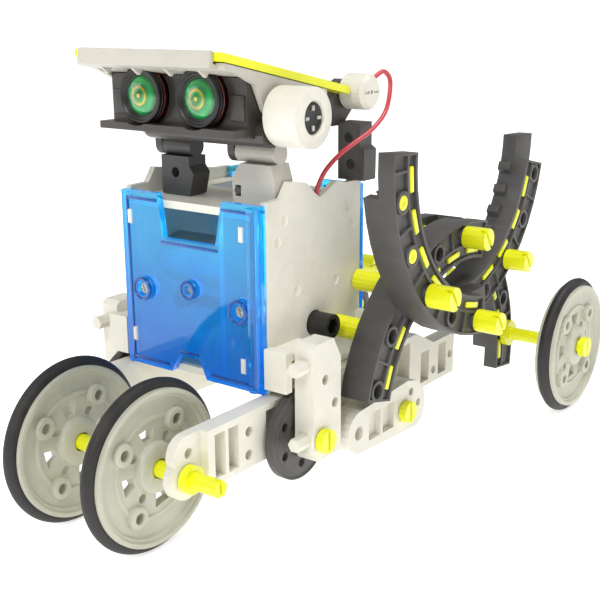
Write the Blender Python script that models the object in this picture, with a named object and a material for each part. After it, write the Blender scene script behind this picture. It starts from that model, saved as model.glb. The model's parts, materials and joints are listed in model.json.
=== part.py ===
"""Solar robot kit: a wheeled toy robot clipped together from a gearbox body, curved beams and a tilting head.

All sizes are in millimetres and turned into metres as each mesh is made. +Z is up, the robot looks along -Y and
its left side is +X. The ground is z = 0. Sizes along Y are written from the middle of the gearbox body, and BODY_Y
moves the whole robot so that the origin lies on the ground midway between the two axles.
"""

import math

import bmesh
import bpy
from mathutils import Matrix, Vector

MM = 0.001

# Clearances between neighbouring solids.
GAP = 0.3
LAYER_GAP = 0.4
RUN = 0.4

# Wheels, all four alike: a rubber ring on a turned rim.
WHEEL_R = 26.5
TYRE_R = 2.3
RIM_HALF = 3.6
RIM_R = 23.7
AXLE_R = 2.6
WHEELBASE = 180.3
FRONT_AXLE_Y = -64.5
FRONT_WHEEL_X = 16.7
REAR_WHEEL_X = 68.8

# Gearbox body: two side panels, a front and a rear cover, and the frame between them.
BODY_W = 59.2
BODY_D = 55.0
BODY_LOW = 39.6
BODY_H = 60.0
PANEL_T = 2.3
COVER_T = 2.3

# Drive train inside the body.
SHAFT_R = 2.2
SHAFT_CAP_R = 4.0
SHAFT_Y = -1.0
SHAFT_Z = 57.0
MODULE = 1.0
GEAR_TEETH = 30
PINION_TEETH = 8
MOTOR_R = 8.5

# Curved beams: quarter rings in three layers beside the body, each of two half-thickness plates.
RING_IN = 50.1
RING_OUT = 63.6
RING_HOLES_R = 58.5
BEAM_T = 10.8
HOLE_R = 2.5
HOLE_PITCH = 18.0
UPPER_CENTRE = (55.6, 110.0)
LOWER_CENTRE = (58.7, 19.4)

# Posts on the side panels, each under a hole of the lower front beam, and the sleeves round them.
POST_R = 2.35
SPACER_R = 3.8

# Yellow studs that pin the layers together.
STUD_R = 3.9
STUD_SHANK_R = 2.2
STUD_L = 8.7

# Long side beams under the body, and the parts hung outside them.
SIDE_BEAM_T = 6.0
SIDE_BEAM_X = 28.0
SIDE_BEAM_LOW = 21.5
BRACKET_T = 7.3
ROLLER_R = 14.8
ROLLER_T = 3.0
ROLLER_Y = -19.5

# Head, tilting about a pivot at the top of its two necks.
PIVOT_Y = -12.0
PIVOT_Z = 112.5
KNUCKLE_R = 3.4
EYE_X = 11.8
EYE_Z = 130.0
EYE_R = 7.6
EYE_OUT = 8.7
EYE_BACK_R = 7.2
EYE_FRONT_Y = -34.6
VISOR_HALF = 26.6
PANEL_HALF = 29.8
PANEL_FRONT = (-44.5, 144.2)
PANEL_REAR = (18.0, 131.2)
SOLAR_T = 2.4
EAR_R = 9.0
KNOB_R = 5.8
WIRE_R = 0.75

# Sizes that follow from those above.
BODY_Y = -FRONT_AXLE_Y - WHEELBASE / 2
REAR_AXLE_Y = FRONT_AXLE_Y + WHEELBASE
AXLE_Z = WHEEL_R
SIDE_X = BODY_W / 2
FRONT_Y = -BODY_D / 2
REAR_Y = BODY_D / 2
BODY_TOP = BODY_LOW + BODY_H
LAYER_1 = SIDE_X + LAYER_GAP
LAYER_2 = LAYER_1 + BEAM_T + LAYER_GAP
LAYER_3 = LAYER_2 + BEAM_T + LAYER_GAP
OUTER_X = LAYER_3 + BEAM_T
SIDE_BEAM_TOP = BODY_LOW - GAP
ROLLER_X = SIDE_BEAM_X + SIDE_BEAM_T + 1.2
BRACKET_X = ROLLER_X + ROLLER_T + 0.5
BRACKET_END = BRACKET_X + BRACKET_T
GEAR_R = MODULE * GEAR_TEETH / 2
PINION_R = MODULE * PINION_TEETH / 2
MESH_ANGLE = math.radians(115.0)
MOTOR_Y = SHAFT_Y + (GEAR_R + PINION_R) * math.cos(MESH_ANGLE)
MOTOR_Z = SHAFT_Z + (GEAR_R + PINION_R) * math.sin(MESH_ANGLE)
DECK_Z = BODY_TOP - 5.6
DECK_T = 2.5

COLOURS = {
    "charcoal": (0.070, 0.066, 0.062),
    "white": (0.790, 0.765, 0.700),
    "grey": (0.490, 0.470, 0.420),
    "yellow": (0.880, 0.880, 0.020),
    "blue": (0.020, 0.230, 0.700),
    "green": (0.030, 0.320, 0.080),
    "steel": (0.500, 0.500, 0.500),
    "rubber": (0.012, 0.012, 0.013),
    "red": (0.580, 0.060, 0.070),
}


# Plain shapes. Each is (points, faces), closed, and turned outward when its mesh is made.


def along(axis, a, b, t):
    """The point at (a, b) across an axis and t along it: (y, z) for X, (x, z) for Y, (x, y) for Z."""
    if axis == "X":
        return (t, a, b)
    if axis == "Y":
        return (a, t, b)
    return (a, b, t)


def prism(axis, outline, low, high):
    count = len(outline)
    points = [along(axis, a, b, low) for a, b in outline]
    points += [along(axis, a, b, high) for a, b in outline]
    faces = [list(range(count)), list(range(count, 2 * count))]
    for i in range(count):
        j = (i + 1) % count
        faces.append([i, j, count + j, count + i])
    return points, faces


def box(x, y, z):
    return prism("Z", [(x[0], y[0]), (x[1], y[0]), (x[1], y[1]), (x[0], y[1])], z[0], z[1])


def circle(centre, radius, sides, turn=0.0):
    steps = [turn + 2 * math.pi * i / sides for i in range(sides)]
    return [(centre[0] + radius * math.cos(t), centre[1] + radius * math.sin(t)) for t in steps]


def rod(axis, centre, radius, low, high, sides=16, turn=0.0):
    return prism(axis, circle(centre, radius, sides, turn), low, high)


def polar(centre, radius, degrees):
    t = math.radians(degrees)
    return (centre[0] + radius * math.cos(t), centre[1] + radius * math.sin(t))


def sector(axis, centre, radii, angles, low, high, step=7.6):
    """Part of a flat ring between two angles in degrees."""
    count = max(1, math.ceil((angles[1] - angles[0]) / step))
    turns = [angles[0] + (angles[1] - angles[0]) * i / count for i in range(count + 1)]
    outline = [polar(centre, radii[1], t) for t in turns]
    outline += [polar(centre, radii[0], t) for t in reversed(turns)]
    return prism(axis, outline, low, high)


def lathe(axis, centre, profile, sides):
    """A closed profile of (along the axis, radius) turned round an axis."""
    points = []
    for i in range(sides):
        t = 2 * math.pi * i / sides
        points += [
            along(axis, centre[0] + r * math.cos(t), centre[1] + r * math.sin(t), s) for s, r in profile
        ]
    count = len(profile)
    faces = []
    for i in range(sides):
        this, after = i * count, (i + 1) % sides * count
        for j in range(count):
            k = (j + 1) % count
            faces.append([this + j, this + k, after + k, after + j])
    return points, faces


# Where the beams' holes line up with a post or a stud of another layer, as (y, z).
POSTS = (polar(LOWER_CENTRE, RING_HOLES_R, 144.6), polar(LOWER_CENTRE, RING_HOLES_R, 126.6))
STUD_F = polar(UPPER_CENTRE, RING_HOLES_R, 307.5)


def tilted(shape, degrees, pivot):
    """The shape turned about an axis along X through pivot, given as (y, z)."""
    turn = Matrix.Rotation(math.radians(degrees), 3, "X")
    centre = Vector((0, pivot[0], pivot[1]))
    return [tuple(turn @ (Vector(p) - centre) + centre) for p in shape[0]], shape[1]


def mirrored(shapes, side):
    """The shapes as they are for the left side, and reflected in x = 0 for the right."""
    return [([(side * x, y, z) for x, y, z in points], faces) for points, faces in shapes]


def mesh_of(name, shapes, pivot):
    built = bmesh.new()
    shift = Vector((0, BODY_Y, 0)) - pivot
    for points, faces in shapes:
        verts = [built.verts.new((Vector(p) + shift) * MM) for p in points]
        for face in faces:
            built.faces.new([verts[i] for i in face])
    bmesh.ops.recalc_face_normals(built, faces=built.faces[:])
    mesh = bpy.data.meshes.new(name)
    built.to_mesh(mesh)
    built.free()
    return mesh


def principled(name):
    material = bpy.data.materials.new(name)
    material.use_nodes = True
    shader = material.node_tree.nodes["Principled BSDF"]
    shader.inputs["Base Color"].default_value = (*COLOURS[name], 1.0)
    shader.inputs["Roughness"].default_value = 0.45
    return material


def combine(target, name, operation, shapes, pivot):
    tool = bpy.data.objects.new(name, mesh_of(name, shapes, pivot))
    tool.location = target.location
    tool.hide_render = True
    tool.display_type = "WIRE"
    TOOLS.objects.link(tool)
    modifier = target.modifiers.new(name, "BOOLEAN")
    modifier.operation = operation
    modifier.solver = "EXACT"
    modifier.use_self = True
    modifier.object = tool


def make(name, colour, adds, cuts=(), pivot=None):
    """One named sub-part: the first shape, joined with the others, with the cuts taken out of it."""
    origin = Vector(pivot if pivot else (0, 0, 0))
    world = origin + Vector((0, BODY_Y if pivot else 0, 0))
    obj = bpy.data.objects.new(name, mesh_of(name, adds[:1], world))
    obj.location = world * MM
    obj.data.materials.append(MATERIALS[colour])
    ROBOT.objects.link(obj)
    if len(adds) > 1:
        combine(obj, name + "_join", "UNION", adds[1:], world)
    if cuts:
        combine(obj, name + "_cut", "DIFFERENCE", list(cuts), world)
    return obj


# Gearbox body.


def side_panel(side, suffix):
    inner = SIDE_X - PANEL_T
    edge = REAR_Y - COVER_T - GAP
    flange_end = BRACKET_X - GAP
    top = BODY_TOP
    outline = [
        (-edge, BODY_LOW),
        (edge, BODY_LOW),
        (edge, top + 0.9),
        (17.0, top + 0.9),
        (11.5, top + 2.0),
        (4.9, top - 1.0),
        (2.2, top - 2.0),
        (-0.5, top - 0.2),
        (-4.6, top + 3.5),
        (-13.3, top + 4.9),
        (-16.8, top + 0.2),
        (-edge, top),
    ]
    adds = [
        prism("X", outline, inner, SIDE_X),
        box((SIDE_X + GAP, flange_end), (FRONT_Y, -edge + 0.4), (BODY_LOW + 2.4, BODY_LOW + 15.4)),
        box((SIDE_X - 1.0, flange_end), (-edge, -9.6), (BODY_LOW + 12.4, BODY_LOW + 14.4)),
        box((SIDE_X - 1.0, flange_end), (edge - 2.4, edge), (BODY_LOW + 2.4, BODY_LOW + 16.4)),
        prism("X", [(-21.5, 42.5), (-8.0, 42.5), (-8.0, 50.0), (-21.5, 50.0)], SIDE_X - 0.5, SIDE_X + 1.2),
    ]
    for post in POSTS:
        adds.append(rod("X", post, POST_R, SIDE_X - 0.1, LAYER_2 - GAP, 16))
    cuts = [rod("X", (SHAFT_Y, SHAFT_Z), SHAFT_CAP_R + GAP, inner - 1, SIDE_X + 1, 24)]
    for y, z in ((-16.2, 93.0), (-19.6, 86.8), (17.1, 92.8), (20.2, 86.3), (-10.2, 69.7), (10.9, 69.1)):
        cuts.append(rod("X", (y, z), 1.7, inner - 1, SIDE_X + 1, 10))
    make("side_panel_" + suffix, "white", mirrored(adds, side), mirrored(cuts, side))


def spacers(side, suffix):
    """The yellow sleeves that hold the lower front beam off the side panel."""
    for place, post in zip(("low", "high"), POSTS):
        sleeve = rod("X", post, SPACER_R, SIDE_X + GAP, LAYER_2 - GAP, 16)
        bore = rod("X", post, POST_R + GAP, SIDE_X - 1, LAYER_2 + 1, 16)
        make(f"spacer_{place}_{suffix}", "yellow", mirrored([sleeve], side), mirrored([bore], side))


def cover(name, side):
    """A clear blue cover. The rear one is the front one turned half round, so side is -1 for it."""
    half = SIDE_X - LAYER_GAP
    low, high = BODY_LOW + GAP, BODY_TOP - 0.8
    outline = [
        (-half, low),
        (-9.5, low),
        (-5.6, low + 6.3),
        (3.2, low + 6.3),
        (6.0, low),
        (half, low),
        (half, high),
        (14.0, high),
        (11.1, high - 14.2),
        (-11.1, high - 14.2),
        (-13.0, high),
        (-half, high),
    ]
    inside = FRONT_Y + COVER_T
    adds = [prism("Y", outline, FRONT_Y, inside)]
    adds.append(rod("Z", (half - 2.7, FRONT_Y + 0.1), 2.3, low + 0.6, high - 0.6, 12))
    cuts = []
    for x, z, r in ((-20.4, 66.6, 4.0), (-0.1, 69.1, 3.2), (20.7, 65.3, 4.0)):
        adds.append(rod("Y", (x, z), r, FRONT_Y - 1.2, inside + 2.0, 14))
        cuts.append(rod("Y", (x, z), r - 1.6, FRONT_Y - 2.2, FRONT_Y + 0.9, 10))
    for x, z in ((-25.7, 90.2), (-25.7, 50.1), (21.6, 89.6), (21.6, 47.7)):
        cuts.append(box((x - 1.1, x + 1.1), (FRONT_Y - 1, inside + 1), (z - 2.6, z + 2.6)))
    if side < 0:
        adds = [([(-x, -y, z) for x, y, z in p], f) for p, f in adds]
        cuts = [([(-x, -y, z) for x, y, z in p], f) for p, f in cuts]
    make(name, "blue", adds, cuts)


def gear(centre, teeth, radius, low, high, phase):
    """A spur gear with straight-sided teeth and some backlash. A tooth points along phase, in degrees."""
    outline = []
    pitch = 360.0 / teeth
    for i in range(teeth):
        middle = phase + i * pitch
        for r, share in ((radius - 1.15, -0.34), (radius + 0.8, -0.11), (radius + 0.8, 0.11), (radius - 1.15, 0.34)):
            outline.append(polar(centre, r, middle + share * pitch))
    return prism("X", outline, low, high)


def drive_train():
    edge = REAR_Y - COVER_T - GAP
    inner = SIDE_X - PANEL_T - GAP
    wall = (9.0, 11.0)
    adds = [
        box((-inner, inner), (-edge, edge), (BODY_LOW + GAP, BODY_LOW + 2.6)),
        box(wall, (-edge + 2.6, edge - 2.6), (BODY_LOW + 1.3, DECK_Z + 0.5)),
        box((-inner, inner), (-edge, edge), (DECK_Z, DECK_Z + DECK_T)),
    ]
    cuts = [
        rod("X", (SHAFT_Y, SHAFT_Z), SHAFT_R + RUN, wall[0] - 1, wall[1] + 1, 20),
        rod("X", (MOTOR_Y, MOTOR_Z), 2.4, wall[0] - 1, wall[1] + 1, 16),
        box((12.4, 18.6), (SHAFT_Y - 9.5, SHAFT_Y + 9.5), (BODY_LOW - 1, BODY_LOW + 4)),
    ]
    for side in (-1, 1):
        cuts.append(box((side * 14.0 - 6, side * 14.0 + 6), (5.0, 19.0), (DECK_Z - 1, DECK_Z + DECK_T + 1)))
    make("gearbox_frame", "white", adds, cuts)
    motor = [rod("X", (MOTOR_Y, MOTOR_Z), MOTOR_R, -22.0, wall[0] - GAP, 28)]
    motor.append(rod("X", (MOTOR_Y, MOTOR_Z), 2.0, wall[0] - 1.3, wall[1], 16))
    motor.append(rod("X", (MOTOR_Y, MOTOR_Z), 3.2, -24.5, -21.0, 16))
    make("motor", "steel", motor)
    degrees = math.degrees(MESH_ANGLE)
    big = gear((SHAFT_Y, SHAFT_Z), GEAR_TEETH, GEAR_R, 13.0, 18.0, degrees + 180.0 / GEAR_TEETH)
    hub = rod("X", (SHAFT_Y, SHAFT_Z), 5.0, 12.0, 20.5, 20)
    shaft_bore = rod("X", (SHAFT_Y, SHAFT_Z), SHAFT_R + GAP, 10.0, 22.0, 20)
    lighten = [rod("X", polar((SHAFT_Y, SHAFT_Z), 9.3, a), 2.3, 11.0, 21.0, 8) for a in (25, 115, 205, 295)]
    make("drive_gear", "green", [big, hub], [shaft_bore] + lighten, (0, SHAFT_Y, SHAFT_Z))
    small = gear((MOTOR_Y, MOTOR_Z), PINION_TEETH, PINION_R, 12.4, 18.6, degrees + 180.0)
    pin = rod("X", (MOTOR_Y, MOTOR_Z), 1.0, wall[1] + GAP, 13.0, 12)
    make("motor_pinion", "white", [small, pin], (), (0, MOTOR_Y, MOTOR_Z))
    tip = SIDE_X + 7.4
    shaft = [rod("X", (SHAFT_Y, SHAFT_Z), SHAFT_R, -tip + 3, tip - 3, 20)]
    hollow = []
    for side in (-1, 1):
        ends = sorted((side * (SIDE_X - PANEL_T - 1.5), side * tip))
        shaft.append(rod("X", (SHAFT_Y, SHAFT_Z), SHAFT_CAP_R, ends[0], ends[1], 20))
        ends = sorted((side * (tip - 4.0), side * (tip + 1)))
        hollow.append(rod("X", (SHAFT_Y, SHAFT_Z), SHAFT_CAP_R - 1.2, ends[0], ends[1], 6))
    make("output_shaft", "rubber", shaft, hollow, (0, SHAFT_Y, SHAFT_Z))


# Wheels and axles.


def wheel(name, x, y):
    """Rim and tyre of one wheel whose middle plane is at x."""
    groove = WHEEL_R - TYRE_R
    bore = AXLE_R + RUN
    lip = RIM_HALF
    half = [
        (lip + 0.9, bore),
        (lip + 0.9, 5.4),
        (1.5, 6.2),
        (1.5, 20.0),
        (lip, 21.0),
        (lip, RIM_R - 0.4),
        (2.6, RIM_R),
    ]
    seat = (TYRE_R + GAP) * math.sqrt(0.5)
    half.append((seat, groove - seat))
    profile = [(-s, r) for s, r in half] + [(0.0, groove - TYRE_R - GAP)] + [(s, r) for s, r in reversed(half)]
    profile = [(x + s, r) for s, r in profile]
    centre = (y, AXLE_Z)
    adds = [lathe("X", centre, profile, 26)]
    cuts = []
    for i in range(4):
        boss = polar(centre, 15.3, 45 + 90 * i)
        adds.append(rod("X", boss, 3.4, x - lip + 0.6, x + lip - 0.6, 10))
        cuts.append(rod("X", boss, 1.7, x - lip - 1, x + lip + 1, 8))
        cuts.append(sector("X", centre, (8.4, 12.6), (90 * i - 15, 90 * i + 15), x - lip - 1, x + lip + 1, 30))
    make(name + "_rim", "white", adds, cuts, (x, y, AXLE_Z))
    tube = [(x + TYRE_R * math.cos(math.pi * i / 4), groove + TYRE_R * math.sin(math.pi * i / 4)) for i in range(8)]
    make(name + "_tyre", "rubber", [lathe("X", centre, tube, 36)], (), (x, y, AXLE_Z))


def stud(name, x_low, x_face, centre, colour="yellow"):
    """A pin with a slotted head: shank from x_low to the outside face at x_face, head beyond it."""
    side = 1 if x_face > 0 else -1
    low, face = abs(x_low), abs(x_face)
    adds = [
        rod("X", centre, STUD_SHANK_R, low, face + 1.5, 12),
        rod("X", centre, STUD_R, face + GAP, face + GAP + STUD_L, 14),
    ]
    end = face + GAP + STUD_L
    cuts = [box((end - 2.2, end + 1), (centre[0] - 0.6, centre[0] + 0.6), (centre[1] - 9, centre[1] + 9))]
    cuts = [tilted(cuts[0], 35, centre)]
    make(name, colour, mirrored(adds, side), mirrored(cuts, side))


def short_pin(name, centre, side, suffix):
    """The headed pin through a bracket or an arm into the side beam."""
    start = SIDE_BEAM_X + SIDE_BEAM_T + GAP
    head = BRACKET_END + GAP
    adds = [
        rod("X", centre, AXLE_R - 0.1, start, head + 1, 14),
        rod("X", centre, STUD_R, head, head + 2.6, 14),
    ]
    cuts = [box((head + 1.4, head + 4), (centre[0] - 0.6, centre[0] + 0.6), (centre[1] - 9, centre[1] + 9))]
    make(name + "_" + suffix, "yellow", mirrored(adds, side), mirrored(cuts, side))


def running_gear(side, suffix):
    # Long side beam: a rounded plate round the front axle, then a pocketed bar that runs back under the body.
    x0, x1 = SIDE_BEAM_X, SIDE_BEAM_X + SIDE_BEAM_T
    axle = (FRONT_AXLE_Y, AXLE_Z)
    bar = [
        (-58.5, SIDE_BEAM_LOW),
        (38.0, SIDE_BEAM_LOW),
        (56.0, SIDE_BEAM_LOW - 4.5),
        (85.0, SIDE_BEAM_LOW - 4.5),
        (85.0, SIDE_BEAM_TOP - 6.3),
        (69.0, SIDE_BEAM_TOP - 6.3),
        (57.0, SIDE_BEAM_TOP),
        (-58.5, SIDE_BEAM_TOP),
    ]
    adds = [
        prism("X", bar, x0, x1),
        rod("X", axle, 6.6, x0, x0 + 3.2, 18),
        rod("X", (FRONT_AXLE_Y + 0.9, SIDE_BEAM_TOP - 6.1), 6.1, x0, x0 + 3.2, 18),
        box((x0, x0 + 3.2), (FRONT_AXLE_Y + 0.5, -57.5), (20.2, SIDE_BEAM_TOP)),
    ]
    cuts = [
        rod("X", axle, AXLE_R + GAP, x0 - 1, x1 + 1, 14),
        rod("X", (FRONT_AXLE_Y + 0.9, SIDE_BEAM_TOP - 5.6), 1.7, x0 - 1, x1 + 1, 10),
    ]
    for y0, y1 in ((-55.5, -50.9), (-49.5, -44.9), (-32.0, -24.0), (-14.0, -2.0), (4.0, 16.0), (40.0, 52.0)):
        cuts.append(box((x0 + 1.5, x1 + 1), (y0, y1), (23.4, 37.2)))
    for y0, y1 in ((60.0, 66.0), (73.0, 79.0)):
        cuts.append(box((x0 + 1.5, x1 + 1), (y0, y1), (19.0, 31.0)))
    for y, z in ((-40.1, 33.2), (-40.4, 25.8), (69.5, 22.0), (82.0, 25.0)):
        cuts.append(rod("X", (y, z), 1.7, x0 - 1, x1 + 1, 10))
    make("side_beam_" + suffix, "white", mirrored(adds, side), mirrored(cuts, side))

    # Drop bracket with two six-sided pegs on its front edge.
    roller = (ROLLER_Y, AXLE_Z)
    outline = [
        (-23.6, 22.5),
        (-22.0, 20.0),
        (-11.5, 20.0),
        (-9.4, 22.5),
        (-9.4, 51.1),
        (-13.2, 57.9),
        (-21.8, 57.9),
        (-23.6, 56.4),
    ]
    adds = [prism("X", outline, BRACKET_X, BRACKET_END)]
    middle = (BRACKET_X + BRACKET_END) / 2
    for z in (27.0, 51.0):
        adds.append(rod("Y", (middle + 0.4, z), 2.3, -29.6, -23.2, 6))
    cuts = [rod("X", roller, AXLE_R + GAP, BRACKET_X - 1, BRACKET_END + 1, 14)]
    for y, z in ((-17.6, 45.6), (-12.5, 36.8)):
        cuts.append(rod("X", (y, z), 1.7, BRACKET_X - 1, BRACKET_END + 1, 10))
    make("drop_bracket_" + suffix, "white", mirrored(adds, side), mirrored(cuts, side))

    # Idler roller on its pin.
    low, high = ROLLER_X, ROLLER_X + ROLLER_T
    profile = [
        (low, AXLE_R + RUN),
        (low, ROLLER_R - 0.6),
        (low + 0.6, ROLLER_R),
        (high - 0.6, ROLLER_R),
        (high, ROLLER_R - 0.6),
        (high, AXLE_R + RUN),
    ]
    disc = mirrored([lathe("X", roller, profile, 36)], side)
    make("mid_roller_" + suffix, "charcoal", disc, (), (side * (low + high) / 2, ROLLER_Y, AXLE_Z))
    short_pin("roller_pin", roller, side, suffix)

    # Rear arm, level with the bracket, on its own pin.
    outline = [
        (1.8, 14.3),
        (36.9, 12.7),
        (41.0, 14.2),
        (43.2, 19.5),
        (42.0, 25.5),
        (37.0, 29.6),
        (31.0, 31.0),
        (1.5, 29.1),
    ]
    adds = [
        prism("X", outline, BRACKET_X, BRACKET_END),
        rod("X", (2.3, 21.7), 7.4, BRACKET_X, BRACKET_END, 20),
    ]
    pin = (28.9, 20.7)
    cuts = [
        rod("X", pin, AXLE_R + GAP, BRACKET_X - 1, BRACKET_END + 1, 14),
        rod("X", (1.1, 21.6), 2.4, BRACKET_X - 1, BRACKET_END + 1, 12),
        rod("X", (33.4, 26.4), 1.5, BRACKET_X - 1, BRACKET_END + 1, 10),
        rod("X", (38.4, 21.1), 1.5, BRACKET_X - 1, BRACKET_END + 1, 10),
        box((BRACKET_END - 2.2, BRACKET_END + 1), (7.0, 14.0), (17.0, 26.4)),
        box((BRACKET_END - 2.2, BRACKET_END + 1), (15.4, 22.4), (17.0, 26.4)),
    ]
    make("rear_arm_" + suffix, "white", mirrored(adds, side), mirrored(cuts, side))
    short_pin("arm_pin", pin, side, suffix)


# Curved beams.


def curved_beam(name, suffix, side, centre, low, outer_angles, inner_angles, holes, more_cuts=(), teeth=()):
    """A quarter ring of two half-thickness plates, staggered so that their ends can lap with the next beam."""
    middle = low + BEAM_T / 2
    high = low + BEAM_T
    radii = (RING_IN, RING_OUT)
    start = max(outer_angles[0], inner_angles[0])
    end = min(outer_angles[1], inner_angles[1])
    adds = [sector("X", centre, radii, (start, end), low, high)]
    for angles, x0, x1 in ((outer_angles, middle, high), (inner_angles, low, middle)):
        if angles[0] < start:
            adds.append(sector("X", centre, radii, (angles[0], start), x0, x1))
        if angles[1] > end:
            adds.append(sector("X", centre, radii, (end, angles[1]), x0, x1))
    for t in teeth:
        outline = [
            polar(centre, RING_IN + 0.6, t - 3.1),
            polar(centre, RING_IN + 0.6, t + 3.1),
            polar(centre, RING_IN - 2.8, t + 1.7),
            polar(centre, RING_IN - 2.8, t - 1.7),
        ]
        adds.append(prism("X", outline, low + 0.6, middle - 0.2))
    cuts = [rod("X", polar(centre, RING_HOLES_R, t), HOLE_R, low - 1, high + 1, 12) for t in holes]
    for spot, radius in more_cuts:
        cuts.append(rod("X", spot, radius, low - 1, high + 1, 14))
    make("beam_" + name + "_" + suffix, "charcoal", mirrored(adds, side), mirrored(cuts, side))


def upper_beams(side, suffix):
    """The two outer beams, which only the left side has, and the studs through them."""
    upper = UPPER_CENTRE
    curved_beam(
        "upper_front", suffix, side, upper, LAYER_3, (175.5, 265.7), (188.0, 278.0), (190, 208, 226, 244, 262)
    )
    curved_beam(
        "upper_rear",
        suffix,
        side,
        upper,
        LAYER_2,
        (258.0, 348.0),
        (268.0, 358.0),
        (262, 271.5, 289.5, 307.5, 325.5, 343.5),
        (),
        (313, 323.4, 333.6, 344),
    )
    stud("stud_d_" + suffix, side * (LAYER_3 + 0.6), side * OUTER_X, polar(upper, RING_HOLES_R, 226))
    stud("stud_e_" + suffix, side * (LAYER_2 + BEAM_T / 2 + GAP), side * OUTER_X, polar(upper, RING_HOLES_R, 262))
    stud("stud_f_" + suffix, side * (LAYER_1 + 0.6), side * (LAYER_2 + BEAM_T), STUD_F)


def lower_beams(side, suffix):
    lower = LOWER_CENTRE
    rear_axle = (REAR_AXLE_Y, AXLE_Z)
    curved_beam(
        "lower_front", suffix, side, lower, LAYER_2, (76.0, 166.0), (86.5, 166.0), (90.6, 108.6, 126.6, 144.6, 162.6)
    )
    curved_beam(
        "lower_rear",
        suffix,
        side,
        lower,
        LAYER_1,
        (-7.6, 82.4),
        (1.5, 94.0),
        (22, 38, 70, 90.6),
        ((rear_axle, AXLE_R + GAP), (STUD_F, HOLE_R)),
        (16, 26.4, 36.8, 47.2),
    )
    stud("stud_g_" + suffix, side * (LAYER_1 + 0.6), side * (LAYER_2 + BEAM_T), polar(lower, RING_HOLES_R, 90.6))
    start = LAYER_1 + 0.4
    hub_end = REAR_WHEEL_X + RIM_HALF + 0.9 + GAP
    adds = [
        rod("X", rear_axle, AXLE_R, start, hub_end + 1, 14),
        rod("X", rear_axle, 4.4, REAR_WHEEL_X - RIM_HALF - 3.6, REAR_WHEEL_X - RIM_HALF - 0.9 - GAP, 14),
        rod("X", rear_axle, 5.2, LAYER_1 + BEAM_T + GAP, LAYER_1 + BEAM_T + 2.6, 14),
        rod("X", rear_axle, STUD_R, hub_end, hub_end + 2.6, 14),
    ]
    cuts = [box((hub_end + 1.2, hub_end + 4), (REAR_AXLE_Y - 0.6, REAR_AXLE_Y + 0.6), (AXLE_Z - 9, AXLE_Z + 9))]
    make("rear_axle_" + suffix, "yellow", mirrored(adds, side), mirrored(cuts, side))


# Head.


def top_line(y):
    """Height of the solar panel's top face at y."""
    share = (y - PANEL_FRONT[0]) / (PANEL_REAR[0] - PANEL_FRONT[0])
    return PANEL_FRONT[1] + share * (PANEL_REAR[1] - PANEL_FRONT[1])


def band(front, rear, down_from, down_to):
    """A strip under the solar panel's top face, as an outline in (y, z)."""
    return [
        (front, top_line(front) - down_to),
        (rear, top_line(rear) - down_to),
        (rear, top_line(rear) - down_from),
        (front, top_line(front) - down_from),
    ]


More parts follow.
